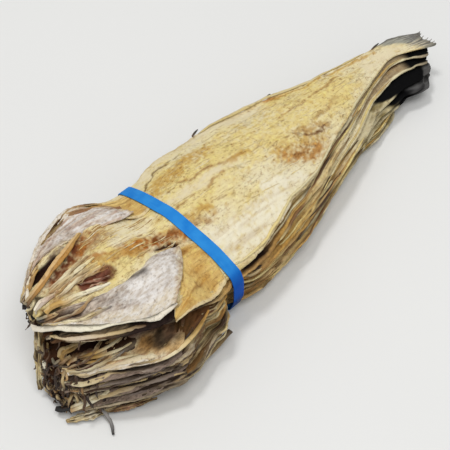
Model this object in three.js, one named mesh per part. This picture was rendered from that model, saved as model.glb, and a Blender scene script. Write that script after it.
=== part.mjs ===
// A bundle of dried pollock: whole fish split open and dried flat, stacked flesh side up with their
// heads together, and bound behind the heads by one flat plastic strap.
// Millimetres. X runs from the heads to the tails, Y across the fish, Z up from the floor.
import * as THREE from "three";

// The bundle and its strap.
const FISH_COUNT = 8;
const STRAP_WIDTH = 12;
const STRAP_THICKNESS = 0.8;
const STRAP_AT = -96;
const STRAP_SLANT = -0.1; // how far the strap runs along the fish for each millimetre across
const STRAP_CLEARANCE = 0.4;
const STRAP_GROOVE_DEPTH = 2.6; // the lowest fish is pulled up where the strap passes under it
const STRAP_GROOVE_REACH = 22;

// The lines of the stack from snout to tail fin. half: half the width of an opened fish.
// flesh: its thickness on the spine. pitch and rimPitch: the rise from one fish to the next on the
// spine and at the rim. rimRise: the height of the lowest fish's rim over the floor.
const LINES = [
  { at: -230, half: 10, flesh: 4.0, pitch: 8.6, rimPitch: 7.6, rimRise: 5.0 },
  { at: -222, half: 21, flesh: 5.0, pitch: 8.8, rimPitch: 7.0, rimRise: 7.0 },
  { at: -205, half: 37, flesh: 5.4, pitch: 9.0, rimPitch: 6.2, rimRise: 11.0 },
  { at: -180, half: 53, flesh: 5.6, pitch: 9.2, rimPitch: 5.6, rimRise: 14.0 },
  { at: -150, half: 64, flesh: 6.0, pitch: 9.4, rimPitch: 5.4, rimRise: 14.0 },
  { at: -120, half: 62, flesh: 7.0, pitch: 9.8, rimPitch: 5.8, rimRise: 12.0 },
  { at: -95, half: 63, flesh: 8.0, pitch: 10.0, rimPitch: 6.0, rimRise: 11.0 },
  { at: -50, half: 66, flesh: 8.0, pitch: 9.6, rimPitch: 6.0, rimRise: 10.0 },
  { at: 0, half: 60, flesh: 7.4, pitch: 8.8, rimPitch: 5.6, rimRise: 9.0 },
  { at: 60, half: 45, flesh: 6.2, pitch: 7.8, rimPitch: 5.2, rimRise: 8.0 },
  { at: 110, half: 32, flesh: 5.2, pitch: 6.8, rimPitch: 4.9, rimRise: 7.0 },
  { at: 160, half: 20, flesh: 4.4, pitch: 5.8, rimPitch: 4.7, rimRise: 6.0 },
  { at: 195, half: 14, flesh: 3.6, pitch: 5.2, rimPitch: 4.6, rimRise: 6.0 },
  { at: 212, half: 16, flesh: 2.6, pitch: 4.9, rimPitch: 4.6, rimRise: 7.0 },
  { at: 232, half: 21, flesh: 1.8, pitch: 4.8, rimPitch: 4.6, rimRise: 8.0 },
];
const BOWL = 2.6; // how late the fish turn up towards their rims
const BOWL_LIMIT = 1.25; // shares of the bowl's half width
const BOWL_LEAST = 34; // half the width of the bowl that the narrow tails and snouts lie in
const HEAD_BOWL = 1.16; // the heads lie in a bowl wider than the uppermost head
const SNOUT = LINES[0].at;
const FIN_END = LINES[LINES.length - 1].at;
const WIDEST = Math.max(...LINES.map((station) => station.half));
const TOP_ARCH = 2.0; // the uppermost fish arches evenly, the lowest one lies flat in the middle
const LOWEST_ARCH = 3.2;
const CROWN = 1.2; // how the flesh thins from the spine to the rim
const RIM_THICKNESS = 2.2;
const FIN_THICKNESS = 1.6;
const HEAD_END = -112;
const FIN_ROOT = 200;
const FIN_SOFTENS = 180; // the flesh runs out into the fin from here to its root
const FIN_FORK = 8; // the middle of the tail fin ends this far short of its corners

// How the fish of one stack differ.
const LOOSE_HEADS = 2; // the upper heads gape away from the heads below them
const GAPE_ON_SPINE = 14;
const GAPE_AT_RIM = 24;
const FAR_GAPE = 0.6; // share of it on the far side
const HEAD_BACK = -105; // gaping and swinging heads start to bend here
const HEAD_FULL = -150;
const LOWER_FROM = 3; // fish from this number down lie in the lower fishes' manner
const UPPER_SWING = 4; // sideways place of the snouts, of the uppermost fish and of the lower ones
const LOWER_SWING = -23;
const SWING_SPREAD = 3;
const UPPER_BEND = 28; // sideways place of the tail fins
const LOWER_BEND = 15;
const BEND_SPREAD = 4;
const ASIDE_SPREAD = 2;
const BEND_START = -80;
const BEND_RUN = 280;
const BEND_CURVE = 1.2;
const LOWEST_CHEEKS = 1.2; // the lowest head lies pressed this much wider than the uppermost
const CHEEKS_BACK = -90;
const CHEEKS_FULL = -125;
const LOWER_SHIFT = -7; // the lower fish lie further forward
const SHIFT_SPREAD = 4;
const TOP_SHIFT = 3;
const TOP_FLAP_TRIM = 0.16; // the uppermost fish's near flap is narrower than its far one
const TOP_FLAP_SPAN = [-70, 10, 110, 170];
const TOP_FIN_FOLD = 0.9; // its tail fin is folded narrow and turned to the near side
const TOP_FIN_TURN = -13;
const LOWER_FIN_FLAP = 7; // the fins of the lower tails stand out on the near side
const LOWER_FIN_SPAN = [140, 180, 205, 222];
const RIM_WAVE = 0.5; // the rims dry wavy, in two waves of unlike length
const TOP_RIM_WAVE = 1.2;
const SHORT_WAVE = 9;
const LONG_WAVE = 17;

// Relief of an opened head: the gill covers lie as plates on both sides of the throat.
const PLATE_RISE = 2.6;
const PLATE_SPAN = [-212, -192, -126, -121];
const PLATE_WIDTH = [0.36, 0.5, 0.97, 1.0]; // shares of the half width
const THROAT_RISE = 3.0;
const THROAT_END = [-165, -140];
const THROAT_EDGE = [0.1, 0.3];
const PRESSED_RELIEF = 0.3; // heads with another head right above them are pressed flat

// Facets of one fish, fore and aft in the head, the body and the fin, and across. The uppermost
// fish, which is seen whole, has more of them.
const TOP_FACETS = { head: 20, body: 18, fin: 6, across: 16 };
const LOWER_FACETS = { head: 13, body: 14, fin: 5, across: 10 };

const clamp = THREE.MathUtils.clamp;
const smooth = THREE.MathUtils.smoothstep;
const lerp = THREE.MathUtils.lerp;

// A fixed pseudo-random number from -1 to 1 for one fish and one use.
function wobble(fish, use) {
  const long = Math.sin(fish * 12.9898 + use * 78.233) * 43758.5453;
  return 2 * (long - Math.floor(long)) - 1;
}

// The value of one line of the stack, on a smooth curve that never overshoots its stations.
function line(name, at) {
  const last = LINES.length - 2;
  let i = 0;
  while (i < last && at > LINES[i + 1].at) i += 1;
  const slope = (j) => {
    if (j < 0 || j > last) return 0;
    return (LINES[j + 1][name] - LINES[j][name]) / (LINES[j + 1].at - LINES[j].at);
  };
  const tangent = (j) => {
    const [before, after] = [slope(j - 1), slope(j)];
    return before * after > 0 ? (2 * before * after) / (before + after) : 0;
  };
  const [from, to] = [LINES[i], LINES[i + 1]];
  const run = to.at - from.at;
  const t = clamp((at - from.at) / run, 0, 1);
  const bow = t * (1 - t);
  const straight = lerp(from[name], to[name], t * t * (3 - 2 * t));
  return straight + run * bow * ((1 - t) * tangent(i) - t * tangent(i + 1));
}

// 1 between b and c, running out to 0 at a and d.
const hump = (at, [a, b, c, d]) => smooth(at, a, b) * (1 - smooth(at, c, d));

// From 0 behind the heads to 1 over the cheeks and snout.
const headShare = (x) => 1 - smooth(x, HEAD_FULL, HEAD_BACK);

// Where fish number `fish` lies, 0 being the uppermost.
function layOf(fish) {
  const lower = smooth(fish, 0, LOWER_FROM);
  const rank = FISH_COUNT - 1 - fish;
  return {
    rank,
    lower,
    shift: lerp(TOP_SHIFT, LOWER_SHIFT + SHIFT_SPREAD * wobble(fish, 1), lower),
    aside: ASIDE_SPREAD * wobble(fish, 2) * lower,
    swing: lerp(UPPER_SWING, LOWER_SWING, lower) + SWING_SPREAD * wobble(fish, 3) * lower,
    bend: lerp(UPPER_BEND, LOWER_BEND, lower) + BEND_SPREAD * wobble(fish, 4) * lower,
    cheeks: lerp(LOWEST_CHEEKS, 1, rank / (FISH_COUNT - 1)),
    loose: fish < LOOSE_HEADS,
    relief: fish === 0 || fish === LOOSE_HEADS ? 1 : PRESSED_RELIEF,
  };
}

// How much of its sideways bend the tail, and of its sideways swing the head, has reached at x.
const bendShare = (x) => Math.pow(clamp((x - BEND_START) / BEND_RUN, 0, 1.2), BEND_CURVE);
const swingShare = (x) => clamp((HEAD_BACK - x) / (HEAD_BACK - SNOUT), 0, 1);

// The middle line that the stack as a whole follows.
function stackMiddle(x) {
  const tail = (UPPER_BEND + LOWER_BEND) * bendShare(x);
  const head = (UPPER_SWING + LOWER_SWING) * swingShare(x);
  return 0.5 * (tail + head);
}

// The underside of the fish of that rank, 0 being the lowest, at a place on the floor plan.
function underside(rank, loose, x, y) {
  const bowlHalf = line("half", x) * lerp(1, HEAD_BOWL, headShare(x));
  const across = (y - stackMiddle(x)) / Math.max(bowlHalf, BOWL_LEAST);
  const q = Math.min(Math.abs(across), BOWL_LIMIT);
  const head = loose ? headShare(x) : 0;
  const nearSide = across < 0 ? 1 : FAR_GAPE;
  const onSpine = rank * line("pitch", x) + GAPE_ON_SPINE * head;
  const atRim = rank * line("rimPitch", x) + GAPE_AT_RIM * nearSide * head;
  const arch = lerp(LOWEST_ARCH, TOP_ARCH, rank / (FISH_COUNT - 1));
  return lerp(onSpine, atRim, Math.pow(Math.min(q, 1), arch)) + line("rimRise", x) * Math.pow(q, BOWL);
}

// How far the opened head's plates and throat stand above its plain sheet.
function headRelief(s, q) {
  const plate = hump(s, PLATE_SPAN) * hump(q, PLATE_WIDTH);
  const throat = (1 - smooth(s, ...THROAT_END)) * (1 - smooth(q, ...THROAT_EDGE));
  return PLATE_RISE * plate + THROAT_RISE * throat;
}

// Half the width of one fish on its near side, where v is below 0, or on its far side.
function halfWidth(lay, s, v) {
  const cheeks = lerp(lay.cheeks, 1, smooth(s, CHEEKS_FULL, CHEEKS_BACK));
  const fold = lerp(1, lerp(TOP_FIN_FOLD, 1, lay.lower), smooth(s, FIN_ROOT, FIN_END));
  const half = line("half", s) * cheeks * fold;
  if (v >= 0) return half;
  const trim = TOP_FLAP_TRIM * hump(s, TOP_FLAP_SPAN) * (1 - lay.lower);
  const flap = LOWER_FIN_FLAP * hump(s, LOWER_FIN_SPAN) * lay.lower;
  return half * (1 - trim) + flap;
}

// A point of one fish. s runs along it from snout to fin, v from -1 to 1 across it.
function fishPoint(fish, s, v, upper) {
  const lay = layOf(fish);
  const half = halfWidth(lay, s, v);
  const fork = FIN_FORK * smooth(s, FIN_ROOT, FIN_END) * (1 - v * v);
  const x = s + lay.shift - fork;
  const finTurn = TOP_FIN_TURN * (1 - lay.lower) * smooth(s, FIN_SOFTENS, FIN_END);
  const y = lay.aside + lay.bend * bendShare(s) + lay.swing * swingShare(s) + finTurn + half * v;
  const q = Math.abs(v);
  const shortWave = Math.sin(s / SHORT_WAVE + 6 * wobble(fish, 6) + 2 * v);
  const longWave = Math.sin(s / LONG_WAVE + 6 * wobble(fish, 7) - v);
  const waveHeight = ((fish === 0 ? TOP_RIM_WAVE : RIM_WAVE) * half) / WIDEST;
  let z = underside(lay.rank, lay.loose, x, y) + waveHeight * (shortWave + longWave) * q * q * q;
  const crown = Math.pow(1 - q * q, CROWN);
  if (upper) {
    const rim = lerp(RIM_THICKNESS, FIN_THICKNESS, smooth(s, FIN_SOFTENS, FIN_ROOT));
    z += lerp(rim, Math.max(line("flesh", s), rim), crown) + lay.relief * headRelief(s, q);
  } else if (lay.rank === 0) {
    const off = (x - STRAP_AT - STRAP_SLANT * y) / STRAP_GROOVE_REACH;
    z += STRAP_GROOVE_DEPTH * crown * Math.exp(-off * off);
  }
  return new THREE.Vector3(x, y, z);
}

// Stations along a fish, closer together in the head and the fin than in the body.
function stationsAlong(facets) {
  const spans = [
    [SNOUT, HEAD_END, facets.head],
    [HEAD_END, FIN_ROOT, facets.body],
    [FIN_ROOT, FIN_END, facets.fin],
  ];
  const stations = spans.flatMap(([from, to, steps]) =>
    Array.from({ length: steps }, (_, i) => lerp(from, to, i / steps)),
  );
  return [...stations, FIN_END];
}

// A closed thin sheet: an upper and a lower face split into triangles alike, and the rim between them.
function sheetGeometry(along, across, place) {
  const [rows, columns] = [along.length, across.length];
  const points = [true, false].flatMap((upper) =>
    along.flatMap((s) => across.map((v) => place(s, v, upper))),
  );
  const at = (i, j, upper) => (upper ? 0 : rows * columns) + i * columns + j;
  const triangles = [];
  for (let i = 0; i + 1 < rows; i += 1) {
    for (let j = 0; j + 1 < columns; j += 1) {
      const [a, b, c, d] = [at(i, j, true), at(i + 1, j, true), at(i + 1, j + 1, true), at(i, j + 1, true)];
      const drop = rows * columns;
      triangles.push(a, b, c, a, c, d);
      triangles.push(a + drop, c + drop, b + drop, a + drop, d + drop, c + drop);
    }
  }
  const rim = [
    ...Array.from({ length: rows - 1 }, (_, i) => [i, 0]),
    ...Array.from({ length: columns - 1 }, (_, j) => [rows - 1, j]),
    ...Array.from({ length: rows - 1 }, (_, i) => [rows - 1 - i, columns - 1]),
    ...Array.from({ length: columns - 1 }, (_, j) => [0, columns - 1 - j]),
  ];
  rim.forEach(([i, j], n) => {
    const [k, l] = rim[(n + 1) % rim.length];
    const [a, b, c, d] = [at(i, j, true), at(i, j, false), at(k, l, false), at(k, l, true)];
    triangles.push(a, b, c, a, c, d);
  });
  const geometry = new THREE.BufferGeometry().setFromPoints(points);
  geometry.setIndex(triangles);
  return geometry;
}

function fishMesh(fish) {
  const facets = fish === 0 ? TOP_FACETS : LOWER_FACETS;
  const across = Array.from({ length: facets.across + 1 }, (_, j) => (2 * j) / facets.across - 1);
  const place = (s, v, upper) => fishPoint(fish, s, v, upper);
  const geometry = sheetGeometry(stationsAlong(facets), across, place);
  const driedFlesh = new THREE.MeshStandardMaterial({ color: 0xdcc48c, roughness: 0.8, metalness: 0 });
  const mesh = new THREE.Mesh(geometry, driedFlesh);
  mesh.name = `pollock_${fish + 1}`;
  return mesh;
}

// The tight outline of a set of points, anticlockwise.
function hullOf(points) {
  const sorted = [...points].sort((a, b) => a.x - b.x || a.y - b.y);
  const turn = (o, a, b) => (a.x - o.x) * (b.y - o.y) - (a.y - o.y) * (b.x - o.x);
  const half = (list) => {
    const kept = [];
    for (const p of list) {
      while (kept.length > 1 && turn(kept[kept.length - 2], kept[kept.length - 1], p) <= 0) kept.pop();
      kept.push(p);
    }
    return kept.slice(0, -1);
  };
  return [...half(sorted), ...half(sorted.reverse())];
}

// A closed outline moved out by that distance, with round corners and no very short steps.
function grownOutline(outline, distance) {
  const cornerTurn = 0.3;
  const leastStep = 0.6;
  const grown = [];
  outline.forEach((p, i) => {
    const before = outline[(i + outline.length - 1) % outline.length];
    const after = outline[(i + 1) % outline.length];
    const from = Math.atan2(p.y - before.y, p.x - before.x) - Math.PI / 2;
    let turn = Math.atan2(after.y - p.y, after.x - p.x) - Math.PI / 2 - from;
    turn -= 2 * Math.PI * Math.floor(turn / (2 * Math.PI));
    const fans = Math.max(1, Math.ceil(turn / cornerTurn));
    for (let n = 0; n <= fans; n += 1) {
      const angle = from + (turn * n) / fans;
      grown.push(new THREE.Vector2(p.x + distance * Math.cos(angle), p.y + distance * Math.sin(angle)));
    }
  });
  return grown.filter((p, i) => p.distanceTo(grown[(i + 1) % grown.length]) > leastStep);
}

// The strap: a flat loop pulled tight round the stack, so it lies on the stack's outline there.
function strapMesh() {
  const section = [];
  const reach = 0.5 * STRAP_WIDTH + 3; // the section is taken a little beyond the strap's edges
  for (let fish = 0; fish < FISH_COUNT; fish += 1) {
    for (let v = -1; v <= 1; v += 1 / TOP_FACETS.across) {
      const middle = STRAP_AT + STRAP_SLANT * fishPoint(fish, STRAP_AT, v, true).y - layOf(fish).shift;
      for (const part of [-1, -0.6, -0.2, 0.2, 0.6, 1]) {
        for (const upper of [true, false]) {
          const p = fishPoint(fish, middle + part * reach, v, upper);
          section.push(new THREE.Vector2(p.y, p.z));
        }
      }
    }
  }
  const tight = hullOf(section);
  const outer = grownOutline(tight, STRAP_CLEARANCE + STRAP_THICKNESS);
  const inner = grownOutline(tight, STRAP_CLEARANCE);
  const band = new THREE.Shape(outer);
  band.holes.push(new THREE.Path(inner));
  const geometry = new THREE.ExtrudeGeometry(band, { depth: STRAP_WIDTH, steps: 1, bevelEnabled: false });
  // The shape's own axes become the bundle's Y and Z, and its depth runs along X on the slant.
  geometry.translate(0, 0, -0.5 * STRAP_WIDTH);
  const slanted = new THREE.Matrix4();
  slanted.makeBasis(
    new THREE.Vector3(STRAP_SLANT, 1, 0),
    new THREE.Vector3(0, 0, 1),
    new THREE.Vector3(1, 0, 0),
  );
  slanted.setPosition(STRAP_AT, 0, 0);
  geometry.applyMatrix4(slanted);
  const plastic = new THREE.MeshStandardMaterial({ color: 0x1f6fd0, roughness: 0.4, metalness: 0 });
  const mesh = new THREE.Mesh(geometry, plastic);
  mesh.name = "strap";
  return mesh;
}

const bundle = new THREE.Group();
for (let fish = 0; fish < FISH_COUNT; fish += 1) bundle.add(fishMesh(fish));
bundle.add(strapMesh());

// The origin is on the floor, under the middle of the bundle.
const box = new THREE.Box3().setFromObject(bundle);
const middle = box.getCenter(new THREE.Vector3());
for (const piece of bundle.children) piece.position.set(-middle.x, -middle.y, -box.min.z);

export default bundle;
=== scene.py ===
import math

import bpy
import numpy as np
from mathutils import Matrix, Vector


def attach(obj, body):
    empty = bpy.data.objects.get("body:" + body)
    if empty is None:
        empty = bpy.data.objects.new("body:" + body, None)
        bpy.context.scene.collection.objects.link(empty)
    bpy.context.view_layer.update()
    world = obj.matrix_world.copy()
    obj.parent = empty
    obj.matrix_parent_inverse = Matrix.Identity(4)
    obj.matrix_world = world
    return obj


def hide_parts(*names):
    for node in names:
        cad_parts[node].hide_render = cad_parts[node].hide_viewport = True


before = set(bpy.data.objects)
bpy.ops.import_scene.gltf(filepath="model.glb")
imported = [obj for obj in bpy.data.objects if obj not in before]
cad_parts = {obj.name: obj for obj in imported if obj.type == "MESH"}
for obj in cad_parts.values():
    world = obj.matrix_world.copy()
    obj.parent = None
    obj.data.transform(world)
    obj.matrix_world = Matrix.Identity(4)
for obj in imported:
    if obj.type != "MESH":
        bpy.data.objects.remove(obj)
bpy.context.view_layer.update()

# The fish: eight pollock split open, gutted and dried in the cold, stacked flesh side up.
# Each is one stiff sheet of dry flesh on its own skin, thick on the spine and thin at the rims.
# They lie in one another like bowls, and the two uppermost heads have sprung up from the rest.
MM = 0.001
FISH_COUNT = 8
# along the stack: half width, thickness of the flesh, the step from fish to fish on the spine and
# at the rims, and the rise of the rims over the spine
STATIONS = [-230, -222, -205, -180, -150, -120, -95, -50, 0, 60, 110, 160, 195, 212, 232]
LINES = {
    "half": [10, 21, 37, 53, 64, 62, 63, 66, 60, 45, 32, 20, 14, 16, 21],
    "flesh": [4.0, 5.0, 5.4, 5.6, 6.0, 7.0, 8.0, 8.0, 7.4, 6.2, 5.2, 4.4, 3.6, 2.6, 1.8],
    "pitch": [8.6, 8.8, 9.0, 9.2, 9.4, 9.8, 10, 9.6, 8.8, 7.8, 6.8, 5.8, 5.2, 4.9, 4.8],
    "rim_pitch": [7.6, 7.0, 6.2, 5.6, 5.4, 5.6, 5.2, 5.8, 5.6, 5.2, 4.9, 4.7, 4.6, 4.6, 4.6],
    "rim_rise": [5, 7, 11, 14, 14, 13.4, 16.6, 11.4, 9, 8, 7, 6, 6, 7, 8],
}
SNOUT, HEAD_END, FIN_ROOT, FIN_END = -230, -112, 200, 232
WIDEST, RIM_THICKNESS, FIN_THICKNESS, LEAST_THICKNESS = 66, 2.2, 1.6, 0.8
UPPER_SWING, UPPER_BEND, TOP_SHIFT = 4, 28, 3
LOWER_SWING, LOWER_BEND, LOWER_SHIFT = -23, 15, -7
SPINE_SPRING, RIM_SPRING = 14, 24
STRAP_AT, STRAP_SLANT = -94.5, -0.06


def between(a, b, share):
    return a + (b - a) * share


def smooth(x, low, high):
    share = np.clip((x - low) / (high - low), 0, 1)
    return share * share * (3 - 2 * share)


def hump(x, span):
    """A rise from 0 to 1 between the first two places, and a fall between the last two."""
    return smooth(x, span[0], span[1]) * (1 - smooth(x, span[2], span[3]))


def chance(fish, use):
    """A fixed random number from -1 to 1 for one use on one fish."""
    long = math.sin(fish * 12.9898 + use * 78.233) * 43758.5453
    return 2 * (long - math.floor(long)) - 1


def drift(a, b, seed):
    """Smooth random hills from -1 to 1, about one for each unit of a and b."""
    table = np.random.default_rng(seed).uniform(-1, 1, (64, 64))
    a, b = np.broadcast_arrays(np.asarray(a, float), np.asarray(b, float))
    i, j = np.floor(a).astype(int), np.floor(b).astype(int)
    f, g = smooth(a - i, 0, 1), smooth(b - j, 0, 1)
    near = between(table[i % 64, j % 64], table[(i + 1) % 64, j % 64], f)
    far = between(table[i % 64, (j + 1) % 64], table[(i + 1) % 64, (j + 1) % 64], f)
    return between(near, far, g)


def line(name, at):
    """One line of the stack, on a smooth curve that never overshoots its stations."""
    x, y = np.array(STATIONS, float), np.array(LINES[name], float)
    slope = np.diff(y) / np.diff(x)
    before, after = np.r_[0, slope], np.r_[slope, 0]
    alike = before * after > 0
    tangent = np.where(alike, 2 * before * after / np.where(alike, before + after, 1), 0)
    i = np.clip(np.searchsorted(x, at) - 1, 0, len(x) - 2)
    run = x[i + 1] - x[i]
    t = np.clip((at - x[i]) / run, 0, 1)
    straight = between(y[i], y[i + 1], t * t * (3 - 2 * t))
    return straight + run * t * (1 - t) * ((1 - t) * tangent[i] - t * tangent[i + 1])


def lay_of(fish):
    """How one fish lies in the stack. The uppermost is 0, and the lower ones lie alike."""
    lower = float(smooth(fish, 0, 3))
    rank = FISH_COUNT - 1 - fish
    return {
        "lower": lower,
        "rank": rank,
        "shift": between(TOP_SHIFT, LOWER_SHIFT + 4 * chance(fish, 1), lower),
        "aside": 2 * chance(fish, 2) * lower,
        "swing": between(UPPER_SWING, LOWER_SWING, lower) + 3 * chance(fish, 3) * lower,
        "bend": between(UPPER_BEND, LOWER_BEND, lower) + 4 * chance(fish, 4) * lower,
        "cheeks": between(1.2, 1, rank / (FISH_COUNT - 1)),
        # whether its head has sprung up, and how far the head's inside shows
        "loose": fish < 2,
        "open": 1.0 if fish in (0, 2) else 0.3,
        # how far its flaps shrank, its near side narrows, its fin spreads and the strap draws it in
        "shrunk": (1.0, 0.5, 0.25, 0, 0, 0, 0, 0)[fish],
        "docked": (1.0, 0.95, 0.85, 0.5, 0, 0, 0, 0)[fish],
        "fan": (0, 0, 0, 4, 7, 9, 0, 0)[fish],
        "drawn": (0.05, 0.05, 0.07, 0.09, 0.09, 0.12, 0.11, 0.11)[fish],
    }


def bend_share(x):
    """How far the bodies have bent aside there, growing towards the tails."""
    return np.clip((x + 80) / 280, 0, 1.2) ** 1.2


def swing_share(x):
    """How far the heads have swung aside there, growing towards the snouts."""
    return np.clip((-105 - x) / 125, 0, 1)


def head_share(x):
    return 1 - smooth(x, -150, -105)


def underside(lay, x, y):
    """The height of a fish's skin side over that place on the floor."""
    bend, swing = UPPER_BEND + LOWER_BEND, UPPER_SWING + LOWER_SWING
    middle = 0.5 * (bend * bend_share(x) + swing * swing_share(x))
    bowl_half = line("half", x) * between(1, 1.16, head_share(x))
    across = (y - middle) / np.maximum(bowl_half, 34)
    q = np.minimum(np.abs(across), 1.25)
    head = head_share(x) if lay["loose"] else 0
    on_spine = lay["rank"] * line("pitch", x) + SPINE_SPRING * head
    at_rim = lay["rank"] * line("rim_pitch", x) + RIM_SPRING * np.where(across < 0, 1, 0.6) * head
    arch = between(3.2, 2.0, lay["rank"] / (FISH_COUNT - 1))
    return between(on_spine, at_rim, np.minimum(q, 1) ** arch) + line("rim_rise", x) * q**2.6


# shares of the uppermost fish's plain half width that its shrunken flaps and folded fin keep
NEAR_EDGE = [
    (-100, 1), (-86, 0.99), (-77, 0.955), (-62, 0.92), (-40, 0.89), (-27, 0.91), (-14, 0.9), (-6, 0.885),
    (9, 0.93), (21, 0.935), (32, 0.955), (53, 0.9), (75, 0.835), (92, 0.82), (117, 0.72), (140, 0.61),
    (166, 0.44), (178, 0.38), (194, 0.48), (208, 0.6), (224, 0.8), (232, 0.95),
]
FAR_EDGE = [
    (80, 1), (107, 0.91), (141, 0.89), (178, 0.8), (190, 0.88), (203, 0.98), (215, 0.76), (224, 0.42),
    (232, 0.15),
]


def half_width(lay, s, v):
    """A fish's half width, on its near side where v is under 0 and on its far side."""
    cheeks = between(lay["cheeks"], 1, smooth(s, -125, -90))
    fold = between(1, between(0.9, 1, lay["lower"]), smooth(s, FIN_ROOT, FIN_END))
    half = line("half", s) * cheeks * fold
    trim = 0.16 * hump(s, [-70, 10, 110, 170]) * (1 - lay["lower"])
    flap = 7 * hump(s, [140, 180, 205, 222]) * lay["lower"]
    flap = flap + hump(s, [182, 200, 216, 232]) * lay["fan"]
    if lay["rank"] < 2:
        flap = 7 * hump(s, [110, 140, 164, 184]) - 4 * hump(s, [172, 188, 215, 232])
    flap = flap + 8 * hump(s, [-120, -109, -99, -90]) * lay["lower"]
    kept = between(lay["shrunk"], lay["docked"], smooth(s, 100, 150))
    near = (half * (1 - trim) + flap) * between(1, np.interp(s, *zip(*NEAR_EDGE)), kept)
    far = half * between(1, np.interp(s, *zip(*FAR_EDGE)), lay["shrunk"])
    # the strap draws both edges in
    off = s + lay["shift"] - STRAP_AT
    near = near * (1 - lay["drawn"] * np.exp(-(((off - 4) / 13) ** 2)))
    return np.where(v < 0, near, far * (1 - 0.09 * np.exp(-((off / 20) ** 2))))


def head_relief(s, q):
    """How far the cheek plates and the throat of an opened head stand up."""
    plate = hump(s, [-212, -192, -126, -121]) * hump(q, [0.36, 0.5, 0.97, 1.0])
    throat = (1 - smooth(s, -165, -140)) * (1 - smooth(q, 0.1, 0.3))
    return 2.6 * plate + 3.0 * throat


def own_place(s, v):
    """Where on the uppermost fish, seen from above, a part of a fish lies."""
    middle = UPPER_BEND * bend_share(s) + UPPER_SWING * swing_share(s)
    return s + TOP_SHIFT, middle + half_width(lay_of(0), s, v) * v


def own_share(u, w):
    """The part of a fish that lies at that place on the uppermost one."""
    s = np.clip(u - TOP_SHIFT, SNOUT, FIN_END)
    off = w - UPPER_BEND * bend_share(s) - UPPER_SWING * swing_share(s)
    return s, off / half_width(lay_of(0), s, off)


def along(u, w, points, width):
    """1 on a line through those places, running out to 0 on both sides of it."""
    points = np.array(points, float)
    points = np.repeat(points, 2, axis=0) if len(points) == 1 else points
    least = np.full(np.shape(u), 1e9)
    for (a, b), (c, d) in zip(points[:-1], points[1:]):
        run = (c - a) ** 2 + (d - b) ** 2
        t = np.clip(((u - a) * (c - a) + (w - b) * (d - b)) / max(run, 1e-9), 0, 1)
        least = np.minimum(least, np.hypot(u - a - t * (c - a), w - b - t * (d - b)))
    return 1 - smooth(least, 0.1 * width, 1.5 * width)


def paint(red, green, blue):
    """The light that a colour sends back, from its values on a screen."""
    part = np.array([red, green, blue], float) / 255
    return np.where(part <= 0.04045, part / 12.92, ((part + 0.055) / 1.055) ** 2.4)


def share_of(value):
    return np.clip(value, 0, 1)[..., None]


def layered(tone, coats):
    """A colour with coats of others over it, each a colour and how much of it there is."""
    for colour, share in coats:
        tone = between(tone, colour, share_of(share))
    return tone


CREAM, STRAW, OCHRE = paint(234, 222, 184), paint(230, 208, 138), paint(198, 158, 84)
IVORY, LINING, STAIN = paint(244, 236, 210), paint(232, 218, 182), paint(176, 110, 46)
# the near-black brown after BLOOD is painted shade, for hollows and for the gaps between the fish; BLACK is
# both painted shade between the tails and the real black of some tips
BLOOD, HOLLOW_SHADE, BLACK = paint(98, 50, 30), paint(38, 22, 16), paint(10, 10, 11)
OLIVE, RIND, TAN = paint(134, 110, 68), paint(198, 174, 126), paint(176, 138, 88)
SKIN, BACK = paint(150, 138, 112), paint(86, 76, 60)

# colour, half width, share of it, height over the flesh, and the line that it follows
HEAD_MARKS = [
    (TAN, 13.0, 0.8, 0.0, [(-206, 4), (-188, 2), (-168, 2)]),
    # a painted shadow along the near edge of the far plate
    (paint(150, 132, 112), 4.0, 0.9, 0.0, [(-186, 33), (-172, 34), (-157, 39)]),
    (paint(150, 88, 44), 6.0, 0.95, -1.9, [(-199, 15), (-186, 18), (-170, 23), (-156, 28)]),
    (BLOOD, 4.5, 0.9, 0.0, [(-196, 18), (-186, 20), (-170, 25), (-160, 28)]),
    (TAN, 8.0, 0.8, 0.3, [(-163, 17), (-152, 21), (-142, 19)]),
    (STAIN, 4.0, 0.7, 0.3, [(-172, 17), (-160, 24), (-150, 29)]),
    # painted shade in the hollow between the far plate and its jaw bone
    (HOLLOW_SHADE, 5.6, 1.0, -3.0, [(-210, 30), (-197, 31), (-184, 29)]),
    (paint(122, 76, 60), 6.4, 1.0, -2.2, [(-187, -5), (-176, -9), (-168, -11)]),
    (BLOOD, 3.0, 0.9, -0.8, [(-189, -3), (-181, -6)]),
    (BLOOD, 3.0, 1.0, -1.0, [(-171, -12), (-165, -12)]),
    # painted shade in the cracks and gaps along the edges of the plates
    (HOLLOW_SHADE, 2.4, 1.0, -1.6, [(-125, -16), (-115, -17.5), (-107, -22)]),
    (HOLLOW_SHADE, 2.6, 1.0, -1.6, [(-150, 55), (-132, 46), (-108, 34)]),
    (HOLLOW_SHADE, 5.0, 1.0, -0.8, [(-172, -55), (-152, -61)]),
    (STAIN, 8.0, 1.0, 0.4, [(-142, -4), (-128, -8), (-114, -10), (-99, -14)]),
    (BLOOD, 4.5, 0.6, -0.6, [(-122, -8), (-104, -12)]),
    (STAIN, 4.0, 0.6, 0.0, [(-156, -5), (-146, -5), (-138, -5)]),
    (STRAW, 7.0, 0.6, 0.0, [(-165, -16), (-150, -16), (-137, -17)]),
    (OCHRE, 7.0, 0.6, 0.0, [(-166, 0), (-150, 0), (-138, -10)]),
    (STAIN, 3.0, 0.5, 0.0, [(-170, 8), (-156, 4)]),
    (OCHRE, 5.0, 0.7, 0.3, [(-112, 28), (-104, 20), (-98, 8)]),
    (IVORY, 6.0, 0.6, 0.0, [(-146, 7), (-125, 6), (-104, 12)]),
    (LINING, 7.0, 0.8, 0.0, [(-138, 17), (-122, 18), (-108, 24)]),
    # painted shade in the hollows at the snout
    (HOLLOW_SHADE, 3.5, 0.9, -1.0, [(-228, 6), (-216, 12)]),
    (HOLLOW_SHADE, 3.5, 0.9, -1.0, [(-226, -4), (-208, -10)]),
]
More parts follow.
